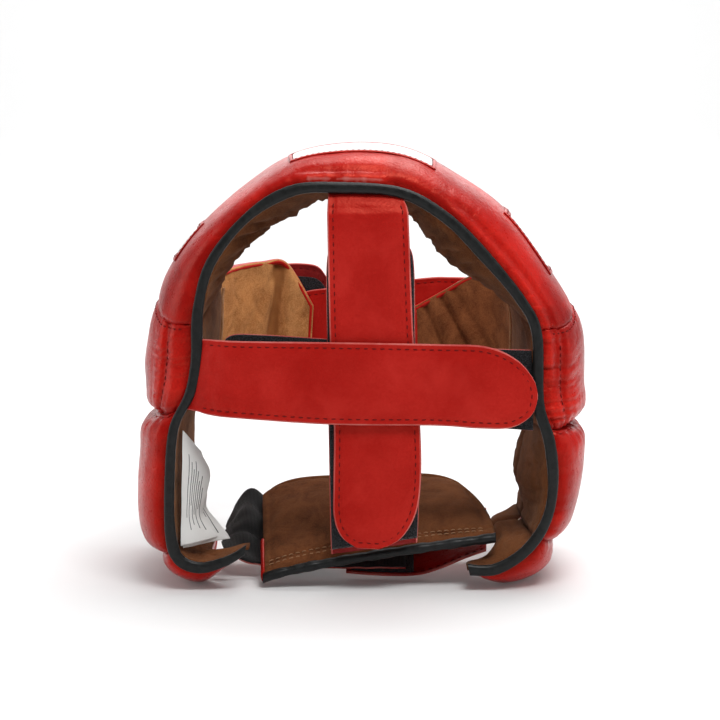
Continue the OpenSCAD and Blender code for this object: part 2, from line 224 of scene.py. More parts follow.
def stitches(name, path, normals, body, pitch=STITCH_PITCH, length=2.5, radius=0.28, material=None):
    """A row of thread stitches that dip into the leather at both ends, along a path in mm."""
    path, normals = np.asarray(path, float), unit(np.asarray(normals, float))
    far = lengths(path, 0)
    at = np.arange(pitch * 0.5, far[-1] - pitch * 0.4, pitch)
    along = np.array([-1, -0.8, -0.35, 0.35, 0.8, 1])
    thick = np.array([0.35, 0.8, 1, 1, 0.8, 0.35])
    around = 6
    last = (len(along) - 1) * around
    points, faces = [], []
    for k, s in enumerate(at):
        centre = np.array([np.interp(s, far, path[:, c]) for c in range(3)])
        nearby = np.array([np.interp(s + 0.5, far, path[:, c]) for c in range(3)])
        up = unit(np.array([np.interp(s, far, normals[:, c]) for c in range(3)]))
        way = unit(nearby - centre)
        side = unit(np.cross(way, up))
        slant = unit(way + side * 0.06 * math.sin(k * 2.3))
        base = len(points)
        for q, w in zip(along, thick):
            middle = centre + slant * q * length / 2 + up * radius * (0.75 - 1.5 * q ** 4)
            for a in ring_angles(around):
                points.append(middle + (side * math.cos(a) + up * math.sin(a)) * radius * w)
        faces += grid_faces(len(along), around, base, False, wrap=True).tolist()
        faces.append([base + m for m in range(around)])
        faces.append([base + last + m for m in range(around - 1, -1, -1)])
    obj = mesh_object(name, points, faces, material or M["thread"])
    if body:
        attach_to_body(obj, body)
    return obj


# ---------------------------------------------------------------- materials
def material(name, color, roughness, specular=0.5, sheen=0.0, sheen_tint=(1, 1, 1, 1),
             gloss_tint=(1, 1, 1, 1)):
    m = bpy.data.materials.new(name)
    m.use_nodes = True
    values = {"Base Color": (*color, 1), "Roughness": roughness, "Specular IOR Level": specular,
              "Sheen Weight": sheen, "Sheen Roughness": 0.4, "Sheen Tint": sheen_tint,
              "Specular Tint": gloss_tint}
    for key, value in values.items():
        m.node_tree.nodes["Principled BSDF"].inputs[key].default_value = value
    return m


def shade(color, brightness):
    return (*[c * brightness for c in color], 1)


class Nodes:
    """Short calls for building one material's nodes."""

    def __init__(self, mat):
        self.tree = mat.node_tree
        self.shader = self.tree.nodes["Principled BSDF"]
        self.place = self.tree.nodes.new("ShaderNodeTexCoord").outputs["Object"]

    def join(self, a, b):
        self.tree.links.new(a, b)

    def add(self, kind, inputs=(), **settings):
        node = self.tree.nodes.new(kind)
        for key, value in settings.items():
            setattr(node, key, value)
        for key, value in dict(inputs).items():
            if isinstance(value, bpy.types.NodeSocket):
                self.join(value, node.inputs[key])
            else:
                node.inputs[key].default_value = value
        return node

    def noise(self, scale, detail=3.0, rough=0.55, distortion=0.0):
        inputs = {"Vector": self.place, "Scale": scale, "Detail": detail, "Roughness": rough,
                  "Distortion": distortion}
        return self.add("ShaderNodeTexNoise", inputs).outputs["Fac"]

    def voronoi(self, scale, feature="F1"):
        return self.add("ShaderNodeTexVoronoi", {"Vector": self.place, "Scale": scale},
                        feature=feature).outputs["Distance"]

    def wave(self, direction, scale, distortion, detail):
        inputs = {"Vector": self.place, "Scale": scale, "Distortion": distortion, "Detail": detail}
        return self.add("ShaderNodeTexWave", inputs, wave_type="BANDS",
                        bands_direction=direction).outputs["Fac"]

    def math(self, operation, a, b):
        return self.add("ShaderNodeMath", {0: a, 1: b}, operation=operation).outputs[0]

    def span(self, value, low, high, to_low, to_high):
        return self.add("ShaderNodeMapRange", {"Value": value, "From Min": low, "From Max": high,
                                               "To Min": to_low, "To Max": to_high}).outputs["Result"]

    def blend(self, factor, a, b):
        node = self.add("ShaderNodeMix", data_type="RGBA")
        for socket, value in zip((node.inputs[0], node.inputs[6], node.inputs[7]), (factor, a, b)):
            if isinstance(value, bpy.types.NodeSocket):
                self.join(value, socket)
            else:
                socket.default_value = value
        return node.outputs[2]

    def lay(self, tone, color, value, low, high, to_low, to_high):
        """tone with a colour laid over it, by an amount that follows value."""
        return self.blend(self.span(value, low, high, to_low, to_high), tone, color)

    def crease(self):
        return self.add("ShaderNodeAttribute", attribute_name="crease").outputs["Fac"]

    def bump(self, height, strength, distance, normal=None):
        node = self.add("ShaderNodeBump", {"Height": height, "Strength": strength, "Distance": distance})
        if normal is not None:
            self.join(normal, node.inputs["Normal"])
        return node.outputs["Normal"]

    def finish(self, color=None, roughness=None, normal=None):
        for key, value in (("Base Color", color), ("Roughness", roughness), ("Normal", normal)):
            if value is not None:
                self.join(value, self.shader.inputs[key])


FUZZ_PINK = (0.74, 0.27, 0.24, 1)   # pale fibres, where the crease value is over 1


def leather(name, color, dark, light, roughness, grain=1.0):
    """Grained leather: pebbles about 1 mm across, uneven dye, painted shade in creases and painted highlight
    on raised ridges.
    """
    mat = material(name, color, roughness, specular=0.5, gloss_tint=(1.0, 0.2, 0.12, 1))
    n = Nodes(mat)
    cells = n.voronoi(900, "SMOOTH_F1")
    pores = n.noise(2200, 2.0)
    mottle = n.noise(700, 4.0, 0.7)
    folds = n.noise(230, 4.0, 0.6, distortion=0.6)
    scuffs = n.noise(38, 4.0, 0.6, distortion=0.5)
    tone = n.lay(dark, (*color, 1), n.noise(26, 3.0), 0.35, 0.68, 0, 1)
    # painted highlight on raised ridges and painted shade in creases and seam valleys, both from the crease
    # value
    tone = n.lay(tone, light, n.crease(), 0.1, 0.9, 0, 0.55)
    tone = n.lay(tone, dark, n.crease(), -1.0, -0.1, 0.7, 0)
    tone = n.lay(tone, dark, cells, 0.35, 0.75, 0, 0.3)
    tone = n.lay(tone, dark, mottle, 0.36, 0.5, 0.16, 0)
    tone = n.lay(tone, light, mottle, 0.52, 0.7, 0, 0.12)
    tone = n.lay(tone, light, scuffs, 0.5, 0.72, 0, 0.35)
    tone = n.lay(tone, FUZZ_PINK, n.crease(), 1.0, 1.8, 0, 0.85)
    rough = n.math("ADD", n.span(folds, 0.3, 0.7, roughness - 0.06, roughness + 0.07),
                   n.span(cells, 0.2, 0.8, 0, 0.08))
    coarse = n.bump(folds, 0.2 * grain, 0.0012)
    fine = n.bump(cells, 0.4 * grain, 0.00025, coarse)
    n.finish(tone, rough, n.bump(pores, 0.14 * grain, 0.0001, fine))
    return mat


def suede(name, color, dark, light):
    """Napped suede: brushed light and dark areas, with a short nap, and painted shade in its pleat valleys.
    """
    mat = material(name, color, 0.93, specular=0.1, sheen=0.08, sheen_tint=(1.0, 0.72, 0.45, 1))
    n = Nodes(mat)
    nap = n.noise(75, 5.0, 0.68, distortion=1.2)
    speckle = n.noise(1500, 3.0, 0.75)
    patchy = n.noise(17, 3.0, 0.6)
    tone = n.lay(dark, (*color, 1), nap, 0.34, 0.66, 0, 1)
    tone = n.lay(tone, light, patchy, 0.45, 0.72, 0, 0.55)
    tone = n.lay(tone, light, speckle, 0.42, 0.72, 0, 0.5)
    tone = n.lay(tone, dark, speckle, 0.24, 0.44, 0.5, 0)
    # painted shade in pleat valleys, from the crease value
    tone = n.lay(tone, dark, n.crease(), -1.0, -0.1, 0.75, 0)
    pile = n.bump(speckle, 0.55, 0.0005)
    n.finish(tone, None, n.bump(nap, 0.35, 0.0012, pile))
    return mat


def pile_fabric(name, color, scale):
    """Hook or loop tape: a dense black pile."""
    mat = material(name, color, 0.85, specular=0.25, sheen=0.25)
    n = Nodes(mat)
    tufts = n.voronoi(scale)
    fibres = n.noise(scale * 2.2, 3.0, 0.7)
    tone = n.lay(shade(color, 3.2), shade(color, 0.5), tufts, 0.1, 0.7, 0, 1)
    fuzz = n.bump(fibres, 0.5, 0.0003)
    n.finish(tone, n.span(fibres, 0.3, 0.7, 0.7, 0.95), n.bump(tufts, 0.9, 0.0005, fuzz))
    return mat


def ribbed(name, color, scale):
    """Woven elastic: fine ribs across the band."""
    mat = material(name, color, 0.72, specular=0.3, sheen=0.15)
    n = Nodes(mat)
    weave = n.math("MULTIPLY", n.wave("X", scale, 0.6, 1.0), n.wave("Y", scale * 1.6, 0.8, 1.0))
    tone = n.blend(weave, shade(color, 0.6), shade(color, 2.0))
    n.finish(tone, n.span(weave, 0, 1, 0.8, 0.6), n.bump(weave, 0.6, 0.0004))
    return mat


def binding_leather(name, color):
    """Smooth black binding with a faint grain and small creases, with painted highlight on their ridges and
    painted shade in their hollows.
    """
    mat = material(name, color, 0.38, specular=0.24)
    n = Nodes(mat)
    grain = n.voronoi(1600, "SMOOTH_F1")
    creases = n.noise(320, 4.0, 0.6, distortion=0.8)
    # painted shade and highlight: darker where the crease noise is low, lighter where it is high, matching
    # the crease bump
    tone = n.lay(shade(color, 0.6), shade(color, 1.6), creases, 0.3, 0.7, 0, 1)
    relief = n.bump(creases, 0.3, 0.0006)
    n.finish(tone, n.span(creases, 0.3, 0.7, 0.3, 0.48), n.bump(grain, 0.2, 0.0002, relief))
    return mat


def woven_white(name, color, scale, roughness):
    """Woven cloth with fine threads and faint soiling."""
    mat = material(name, color, roughness, specular=0.35)
    n = Nodes(mat)
    threads = n.wave("Z", scale, 0.4, 2.0)
    soil = n.noise(45, 4.0)
    tone = n.lay((*color, 1), shade(color, 0.86), soil, 0.35, 0.7, 0, 0.35)
    rough = n.span(soil, 0.3, 0.7, roughness - 0.08, roughness + 0.08)
    n.finish(tone, rough, n.bump(threads, 0.25, 0.0002))
    return mat


def foam_material(name, color):
    mat = material(name, color, 0.95, specular=0.15)
    n = Nodes(mat)
    cells = n.voronoi(1300)
    tone = n.lay(shade(color, 0.75), (*color, 1), cells, 0.1, 0.6, 0, 1)
    n.finish(tone, None, n.bump(cells, 0.5, 0.0004))
    return mat


# leather and suede: name, colour, dark, light
M = {
    "leather": leather("red_leather", (0.46, 0.009, 0.006), (0.24, 0.003, 0.003, 1),
                       (0.62, 0.022, 0.014, 1), 0.29),
    "strap": leather("red_strap_leather", (0.45, 0.015, 0.012), (0.34, 0.006, 0.005, 1),
                     (0.56, 0.03, 0.024, 1), 0.38, grain=0.8),
    "dark": leather("dark_red_leather", (0.24, 0.012, 0.014), (0.12, 0.006, 0.008, 1),
                    (0.35, 0.04, 0.04, 1), 0.5),
    "cut": leather("cut_leather_edge", (0.62, 0.16, 0.14), (0.42, 0.05, 0.045, 1),
                   (0.75, 0.34, 0.3, 1), 0.75),
    "suede": suede("brown_suede", (0.155, 0.05, 0.017), (0.06, 0.018, 0.006, 1), (0.25, 0.095, 0.036, 1)),
    # lightened copies of the brown suede as painted light on the jaw flaps' inner faces: brightest on the
    # left flap, less on the right flap
    "left_jaw_painted_light_suede": suede("brown_suede_painted_lit", (0.50, 0.21, 0.068), (0.24, 0.085, 0.025, 1),
                       (0.70, 0.36, 0.14, 1)),
    "right_jaw_painted_light_suede": suede("brown_suede_painted_half_lit", (0.23, 0.075, 0.026), (0.09, 0.025, 0.008, 1),
                       (0.36, 0.13, 0.05, 1)),
    "welt": suede("light_suede_welt", (0.42, 0.22, 0.11), (0.25, 0.11, 0.05, 1), (0.6, 0.36, 0.2, 1)),
    "binding": binding_leather("black_binding", (0.008, 0.0085, 0.0085)),
    "tape": pile_fabric("hook_and_loop_tape", (0.012, 0.012, 0.014), 1500),
    "elastic": ribbed("black_elastic", (0.008, 0.008, 0.0085), 420),
    "foam": foam_material("foam_padding", (0.80, 0.75, 0.58)),
    "patch": woven_white("white_patch", (0.80, 0.76, 0.74), 300, 0.42),
    "label": woven_white("white_label", (0.82, 0.82, 0.80), 700, 0.6),
    "print": woven_white("grey_print", (0.07, 0.07, 0.075), 700, 0.7),
    "thread": material("dark_red_thread", (0.13, 0.006, 0.006), 0.75, specular=0.1),
    "brown_thread": material("brown_thread", (0.30, 0.15, 0.07), 0.7, specular=0.2, sheen=0.3),
}


# ---------------------------------------------------------------- padded panels round the rim
def wall(t, y, h):
    """Design point of the padded wall, at h outside the rim; the underside is flat on the floor."""
    rim, out = curve(RIM, t), curve(OUT, t)
    p = rim + unit(out - rim) * np.asarray(h)[..., None]
    return np.stack([p[..., 0], np.broadcast_to(y, p.shape[:-1]), np.maximum(0, p[..., 1])], -1)


def pad_depth(t):
    pinched = 1 - PINCH * sum(bump(t, c, PINCH_W) for c in (T_CORNER_L, T_WING_L, T_WING_R, T_CORNER_R))
    return np.linalg.norm(curve(OUT, t) - curve(RIM, t), axis=-1) * pinched


def outer_h(t, y, far):
    """The cover's distance outside the rim, rounded at the crown edge and at the far edge."""
    def rounded(f):
        return np.sqrt(np.maximum(0, 1 - np.maximum(0, 1 - np.minimum(f, 1)) ** 2.2))
    roll = rounded((y - EDGE_Y) / ROLL_NEAR) * rounded((far - y) / ROLL_FAR)
    return HALF_EDGE + (pad_depth(t) - HALF_EDGE) * roll


def inner_h(t, y, far):
    """The lining's distance outside the rim; it swells inwards most at the brow and the right wing."""
    swell = 2.5 + 10.5 * bump(t, 11, 1.3) + 11.5 * bump(t, 15.4, 1.3) + (
        11 * bump(t, 20.9, 0.85) + 7 * bump(t, 23.4, 0.6))
    wave = np.maximum(0, np.sin(math.pi * (y - EDGE_Y) / (far - EDGE_Y)))
    return -HALF_EDGE - swell * wave ** 0.8


def hole_cut(y):
    return HOLE_W * np.sqrt(np.maximum(0, 1 - ((y - HOLE_Y) / HOLE_L) ** 2))


def nape_cut(y):
    return step01((y - 8) / 22)


def slant(y):
    """The seams between forehead and ear pads run lower at the crown edge than at the outside."""
    return 1 - step01((y - EDGE_Y) / 42)


def t_low(t0, y):
    """t of a panel's low seam, which leaves the ear holes and the cut at the nape open."""
    if t0 in (T_WING_L, T_WING_R):
        return t0 + SEAM_T + hole_cut(y)
    if t0 == T_EAR_L:
        return t0 - EAR_SLANT_L * slant(y)
    if t0 == T_EAR_R:
        return t0 + EAR_SLANT_R * slant(y)
    return 1.75 * nape_cut(y) if t0 == 0 else t0 + SEAM_T + 0 * y


def t_high(t1, y):
    if t1 in (T_WING_L, T_WING_R):
        return t1 - SEAM_T - hole_cut(y)
    if t1 == T_EAR_L:
        return t1 - EAR_SLANT_L * slant(y)
    if t1 == T_EAR_R:
        return t1 + EAR_SLANT_R * slant(y)
    return T_END - 1.35 * nape_cut(y) if t1 == T_END else t1 - SEAM_T + 0 * y


# name: t0, t1, depth, fill, (gathers at the low seam, the high seam, the binding), distance to the channel
PADS = {
    "left_corner": (0, T_CORNER_L, 110, 0.7, (0.1, 0.5, 0.25), None),
    "left_wing": (T_CORNER_L, T_WING_L, 128, 0.8, (0.5, 0.9, 0.25), None),
    "left_ear": (T_WING_L, T_EAR_L, 150, 0.8, (0.9, 0.3, 0.3), 15.5),
    "forehead": (T_EAR_L, T_EAR_R, 88, 0.9, (0.25, 0.25, 0.25), None),
    "right_ear": (T_EAR_R, T_WING_R, 150, 0.8, (0.3, 0.9, 0.9), 11.5),
    "right_wing": (T_WING_R, T_CORNER_R, 128, 0.8, (1.0, 0.5, 0.3), None),
    "right_corner": (T_CORNER_R, T_END, 110, 0.7, (0.5, 0.1, 0.25), None),
}


def pad_grid(t0, t1, far, height, spacing):
    """t and y of a grid over one panel, evenly spaced over its surface."""
    middle = np.full(400, (t0 + t1) / 2)
    fine = np.linspace(0, 1, 400)
    y = EDGE_Y + (far - EDGE_Y) * (1 - np.cos(math.pi * fine)) / 2
    profile = wall(middle, y, height(middle, y, far))
    nv = int(whole_length(profile) / spacing)
    y = np.interp(spaced(profile, nv), fine, y)
    ts, mid_y = np.linspace(t0, t1, 400), np.full(400, 40.0)
    line = wall(ts, mid_y, height(ts, mid_y, far))
    nu = int(whole_length(line) / spacing)
    u = spaced(line, nu)[:, None]
    Y = np.broadcast_to(y, (nu, nv))
    return mix(t_low(t0, Y), t_high(t1, Y), u), Y


def seam_dip(d, depth=1.0):
    return depth * (-1.9 * np.exp(-(d / 1.7) ** 2) - 0.8 * np.exp(-(d / 6) ** 2))


def skin_relief(grid, t, gathers, channel, seed):
    """How far the leather stands out of its plain surface: seams, gathers, channels and soft wrinkles."""
    s = lengths(grid, 1)
    a = lengths(grid, 0)
    b = a[-1] - a
    edge = s[:, -1:] - s
    low, high, near = gathers
    d = seam_dip(a, 0.12 + low) + seam_dip(b, 0.12 + high)
    d += low * bump(a, 12, 7) + high * bump(b, 12, 7)
    for away, amount, k in ((a, low, 1), (b, high, 2)):
        d += amount * (pleats(s / 9.5 + 0.15 * np.sin(away / 7), seed + k) - 0.7) * np.exp(-away / 10) * 1.9
        d += amount * 0.5 * (pleats(s / 4.1, seed + k + 5) - 0.7) * np.exp(-away / 4.5)
    round_rim = lengths(grid[:, :2], 0)[:, :1] * np.ones_like(s)
    place = (pleats(round_rim / 6.5 + 0.12 * np.sin(s / 4), seed + 7) - 0.7)
    small = (pleats(round_rim / 2.9, seed + 9) - 0.7)
    gathered = near * (0.9 + 0.5 * noise_at(grid * [1, 0, 1], 34, seed))
    d += np.maximum(gathered, 0) * (2.3 * place * np.exp(-s / 14) + 2.2 * small * np.exp(-s / 11))
    bead = bead_strength(t)
    fine = pleats(round_rim / 2.1, seed + 11) - 0.6 + 0.5 * noise_at(grid, 2.2, seed)
    d += -1.0 * np.exp(-(s / 3.0) ** 2) * (1 - bead)
    d += bead * (0.9 * bump(s, 3, 1.9) - 1.4 * bump(s, 7.2, 1.5) + 0.9 * fine * bump(s, 3.2, 2.6))
    if channel:
        d += -1.5 * bump(s, channel, 1.3) + 0.5 * bump(s, channel + 6, 4) + 0.5 * bump(s, channel - 6, 3.5)
        d += 0.9 * (pleats(round_rim / 7.1, seed + 3) - 0.7) * bump(s, channel + 3, 6)
    d += -1.4 * bump(edge, 7, 1.2) + 0.5 * bump(edge, 2.5, 2.5)
    fuzz = bead * step01((14.2 - t) / 0.3) * bump(s, 1.4, 2.2) * (1 + 0.5 * noise_at(grid, 1.6, seed + 4))
    d += (0.3 * noise_at(grid, 30, seed) + 0.1 * noise_at(grid, 11, seed + 1)
          + 0.03 * noise_at(grid, 4, seed + 2))
    # the second value is the crease value: painted shade in seams and valleys and painted highlight on
    # ridges, plus the fuzz of the pale strip beside the binding
    return d, np.clip(d / 2.2, -1, 1) + np.clip(fuzz * 1.6, 0, 1.2)


def bead_strength(t):
    """Where the leather is gathered into a thin bead beside the binding: top middle and upper right."""
    return step01((t - 12.1) / 0.3) * step01((13.9 - t) / 0.3) * 0.8 + step01((t - 14.9) / 0.4) * step01(
        (18.9 - t) / 0.5)


def suede_relief(grid, t, seed):
    """The lining gathers into pleats along the crown edge, most at the upper sides."""
    s = lengths(grid, 1)
    a = lengths(grid, 0)
    b = a[-1] - a
    round_rim = lengths(grid[:, :2], 0)[:, :1] * np.ones_like(s)
    strong = 0.45 + 1.0 * bump(t, 10.8, 1.3) + 0.9 * bump(t, 15.3, 1.2)
    d = seam_dip(a) * 0.9 + seam_dip(b) * 0.9 - 2.4 * bump(s, 62, 4.5) * step01((t - T_WING_R) * 5)
    d += strong * 3.0 * (pleats(round_rim / 9.5 + 0.25 * np.sin(s / 13 + seed), seed) - 0.65) * (
        step01(s / 10) * np.exp(-np.maximum(s - 40, 0) / 40))
    small = pleats(round_rim / 5.2 + 0.3 * np.sin(s / 8), seed + 4) - 0.7
    d += strong * small * np.exp(-s / 14) * step01(s / 4)
    d += (noise_at(grid, 30, seed + 3) + 0.5 * noise_at(grid, 12, seed + 5)
          + 0.15 * noise_at(grid, 4.5, seed))
    return d


def settled(points):
    """Points kept above the floor."""
    out = points.copy()
    out[..., 2] = np.maximum(out[..., 2], FLOOR_GAP)
    return out


def make_gusset(name, side, t0, t1, far):
    """The narrow leather end of a panel, between its cover and its lining."""
    nu, nv = 12, 90
    y = EDGE_Y + 2.5 + (far - EDGE_Y - 4) * (1 - np.cos(math.pi * np.linspace(0, 1, nv))) / 2
    Y = np.broadcast_to(y, (nu, nv))
    edge = t_low(t0, Y) if side == "low" else t_high(t1, Y)
    into = (1 if side == "low" else -1) * np.ones_like(Y)
    u = np.linspace(0, 1, nu)[:, None]
    h = mix(inner_h(edge, Y, far) + 3.8, np.maximum(outer_h(edge, Y, far) - 1.9, -HALF_EDGE + 1.2), u)
    face = wall(edge, Y, h)
    step = np.linalg.norm(wall(edge + 0.01 * into, Y, h) - face, axis=-1) / 0.01
    soft = 1.2 * (1 - np.abs(2 * u - 1) ** 2) + 0.35 * noise_at(face, 9, t0)
    outside = wall(edge + into * (1.9 - soft) / step, Y, h)
    inside = wall(edge + into * (3.2 - soft) / step, Y, h)
    piece = slab(f"{name}_gusset_{side}", settled(outside), settled(inside), M["leather"])
    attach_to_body(piece, "shell")


def make_pad(name, seed):
    t0, t1, far, fill, gathers, channel = PADS[name]
    t, y = pad_grid(t0, t1, far, outer_h, 1.4 if channel else 1.9)
    base = wall(t, y, outer_h(t, y, far))
    relief, crease = skin_relief(base, t, gathers, channel, seed)
    out = normals_of(base)
    top = settled(base + out * relief[..., None])
    under = wall(t, y, np.maximum(outer_h(t, y, far) - SKIN - 0.8, -HALF_EDGE + SUEDE + 0.4))
    under = under + out * np.minimum(relief, 0)[..., None]
    skin = slab(name + "_skin", top, settled(under), M["leather"], crease=crease)
    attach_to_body(skin, "shell")
    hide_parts(name + "_cover")

    t, y = pad_grid(t0, t1, far, inner_h, 2.3)
    base = wall(t, y, inner_h(t, y, far))
    relief = suede_relief(base, t, seed + 20)
    inward = -normals_of(base)
    face = settled(base + inward * relief[..., None])
    back = settled(wall(t, y, inner_h(t, y, far) + SUEDE) + inward * relief[..., None] * 0.9)
    # the crease value paints shade into the lining's pleat valleys
    lining = slab(name + "_suede", back, face, M["suede"], crease=np.clip(relief / 2.5, -1, 1))
    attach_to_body(lining, "shell")
    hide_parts(name + "_lining")

    for side in ("low", "high"):
        make_gusset(name, side, t0, t1, far)

    t, y = pad_grid(t0, t1, far, outer_h, 5)
    shrink = 1 - 0.14 * step01((np.abs(2 * (t - t.min()) / (t.max() - t.min()) - 1) - 0.6) / 0.4)
    t, y = mix((t0 + t1) / 2, t, shrink), mix(far / 2, y, 0.9)
    t = np.clip(t, t_low(t0, y) + 0.15, t_high(t1, y) - 0.15)
    h_in = inner_h(t, y, far) + SUEDE + 3.4
    h_out = np.maximum(outer_h(t, y, far) - SKIN - 4.2, h_in + 0.4)
    core = slab(name + "_core", settled(wall(t, y, h_out)) + [0, 0, 0.6],
                settled(wall(t, y, h_in)) + [0, 0, 0.3], M["foam"])
    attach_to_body(core, "shell")
    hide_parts(name + "_foam")
    return top, out


PAD_TOPS = {name: make_pad(name, k * 3.7 + 1) for k, name in enumerate(PADS)}


def attach(obj, hold, node=None):
    """hold is a body's name, which the piece is attached to; for a tuple (body a, body b, start, end) of a
    piece between two bodies the piece's transform is only baked, and the tuple's values are not used.
    """
    if isinstance(hold, str):
        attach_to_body(obj, hold)
    else:
        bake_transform(obj)
    if node:
        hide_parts(node)
    return obj


# ---------------------------------------------------------------- crown binding
def make_binding():
    """The folded tape that closes the crown edge, with small creases round the tight turns."""
    n, around = 620, 18
    t = np.linspace(0, T_END, n)
    line = wall(t, np.zeros(n), np.zeros(n))
    s = lengths(line, 0)
    angle = ring_angles(around)
    c, q = np.cos(angle), np.sin(angle)
    h = 2.95 * np.sign(c) * np.abs(c) ** 0.75
    y = -1.05 - 1.95 * np.sign(q) * np.abs(q) ** 0.8
    wave = 1 + 0.05 * np.sin(s / 17) + 0.035 * np.sin(s / 6.3 + 1)
    crinkle = 0.16 * (pleats(s / 3.4, 3) - 0.7)
    swell = 0.35 * np.maximum(q, 0)[None, :] * np.sin(s / 11 + 2)[:, None]
    H = h[None, :] * wave[:, None]
    Y = y[None, :] - swell * 0.5 + crinkle[:, None] * (np.abs(c)[None, :] > 0.6)
    rings = wall(np.repeat(t[:, None], around, 1), Y, H + crinkle[:, None] * c[None, :])
    piece = tube("crown_binding_tape", settled(rings), M["binding"])
    attach(piece, "shell", "crown_binding")


make_binding()


# ---------------------------------------------------------------- straps
class Strap:
    """A flat strap between two edge curves, with a rounded edge, a stitch groove and soft waves."""

    def __init__(self, side_a, side_b, low, high, wave=0.6, seed=0.0, groove=STITCH_IN, dome=0.25):
        self.a, self.b = np.asarray(side_a, float), np.asarray(side_b, float)
        self.low, self.high, self.wave, self.seed = low, high, wave, seed
        self.groove, self.dome = groove, dome
        self.end = len(side_a) - 1

    def normal(self, t):
        t = np.asarray(t, float)
        t0, t1 = t - 0.05, np.minimum(t + 0.05, self.end)
        along = curve(self.a, t1) + curve(self.b, t1) - curve(self.a, t0) - curve(self.b, t0)
        tc = np.minimum(t, self.end - 0.2)
        return unit(np.cross(along, curve(self.b, tc) - curve(self.a, tc)))

    def ripple(self, points):
        return self.wave * (noise_at(points, 40, self.seed) + 0.35 * noise_at(points, 15, self.seed + 1)
                            + 0.08 * noise_at(points, 5, self.seed + 2))

    def stations(self, t0, t1, spacing):
        """Values of t evenly spaced along the strap, with two more near its rounded end."""
        fine = np.linspace(t0, t1, 500)
        middle = (curve(self.a, fine) + curve(self.b, fine)) / 2
        t = np.interp(spaced(middle, 500), np.linspace(0, 1, 500), fine)
        n = max(int(whole_length(middle) / spacing), 8)
        t = np.interp(np.linspace(0, 1, n), np.linspace(0, 1, 500), t)
        lead = t[-2:-1] + (t[-1] - t[-2]) * np.array([[0.5], [0.8]]).ravel()
        return np.concatenate([t[:-1], lead, t[-1:]])

    def grid(self, t0, t1, inset, spacing):
        """Points and normals over the strap's middle surface, and distances from its edges."""
        t = self.stations(t0, t1, spacing)
        a, b = curve(self.a, t), curve(self.b, t)
        w = unit(b - a) * inset
        a, b = a + w, b - w
        v = np.concatenate([[0, 0.006, 0.018, 0.04], np.linspace(0.07, 0.93, 30), [0.96, 0.982, 0.994, 1]])
        points = a[:, None] + (b - a)[:, None] * v[None, :, None]
        width = np.linalg.norm(b - a, axis=-1)[:, None]
        total = lengths(points.mean(1)[:, None], 0)
        d = np.minimum(np.minimum(v * width, (1 - v) * width), total[-1] - total + 0.02)
        return points, np.repeat(self.normal(t)[:, None], len(v), 1), d

    def relief(self, d):
        if not self.groove:
            return self.dome * step01(d / 8)
        return -0.38 * bump(d, self.groove, 0.75) + self.dome * step01((d - self.groove) / 9)

    def sheet(self, name, mat, edge=None, t0=0.0, t1=None, inset=0.0, puff=None, spacing=1.6, facing=1):
        points, out, d = self.grid(t0, self.end if t1 is None else t1, inset, spacing)
        thick = self.high - self.low
        r = thick * 0.42
        rounding = r * (1 - np.sqrt(np.clip(1 - (1 - np.minimum(d / r, 1)) ** 2, 0, 1)))
        ripple = self.ripple(points)
        extra = puff(points, d) if puff else 0
        relief = self.relief(d)
        top = points + out * (self.high - rounding + ripple + relief + extra)[..., None]
        under = points + out * (self.low + rounding + ripple - relief + extra * 0.85)[..., None]
        # crease value for painted shade in grooves and hollows and painted highlight on raised parts; facing
        # flips it for a sheet seen from its other face
        crease = np.clip(relief * 0.6 + (ripple * 0.3 + extra * 0.8) * facing, -1, 1) + 0 * d
        obj = slab(name, top, under, mat, edge, crease=crease)
        if edge is not None:
            nu, nv = points.shape[:2]
            for side in range(2):
                first = side * (nu - 1) * (nv - 1)
                rim = [i * (nv - 1) + j for i in range(nu - 1) for j in (0, 1, nv - 3, nv - 2)]
                for k in rim + [(nu - 2) * (nv - 1) + j for j in range(nv - 1)]:
                    obj.data.polygons[first + k].material_index = 1
        return obj

    def outline(self, inset, t0):
        """Points and normals of the strap's outline, moved in by inset."""
        t = np.linspace(t0, self.end, 220)
        a, b = curve(self.a, t), curve(self.b, t)
        n = self.normal(t)
        line = np.concatenate([a, mix(a[-1], b[-1], np.linspace(0.1, 0.9, 5)[:, None]), b[::-1]])
        normals = np.concatenate([n, np.repeat(n[-1:], 5, 0), n[::-1]])
        along = unit(np.gradient(line, axis=0))
        for _ in range(6):
            along[1:-1] = unit(along[:-2] + along[1:-1] * 2 + along[2:])
        inward = unit(np.cross(normals, along))
        inward *= np.sign(((mix(a[60], b[60], 0.5) - a[60]) * inward[60]).sum())
        line = line + inward * inset
        return line, normals, inward

    def stitch(self, name, hold, t0=0.0, sides=(1, -1)):
        """The thread along the strap's groove; it shows on both faces."""
        line, normals, _ = self.outline(self.groove, t0)
        sunk = self.relief(np.full(len(line), float(self.groove)))
        for side in sides:
            lift = (self.high + sunk if side > 0 else self.low - sunk) + self.ripple(line)
            row = stitches(name + ("_front" if side > 0 else "_back"), line + normals * lift[:, None],
                           normals * side, None)
            attach(row, hold)


def wrinkled(seed, where, width, amount, size=5.0):
    """Fine cross wrinkles near one place on a strap, for Strap.sheet's puff."""
    def puff(points, d):
        far = np.linalg.norm((points - np.array(where)) / np.array(width), axis=-1)
        along = points * [0.35, 1, 1]
        waves = noise_at(along, size, seed) + 0.5 * noise_at(along, size / 2.3, seed)
        return amount * waves * np.exp(-far ** 2)
    return puff


half = STRAP_T / 2
tape_a = half + 0.05
tape_b = tape_a + TAPE_T

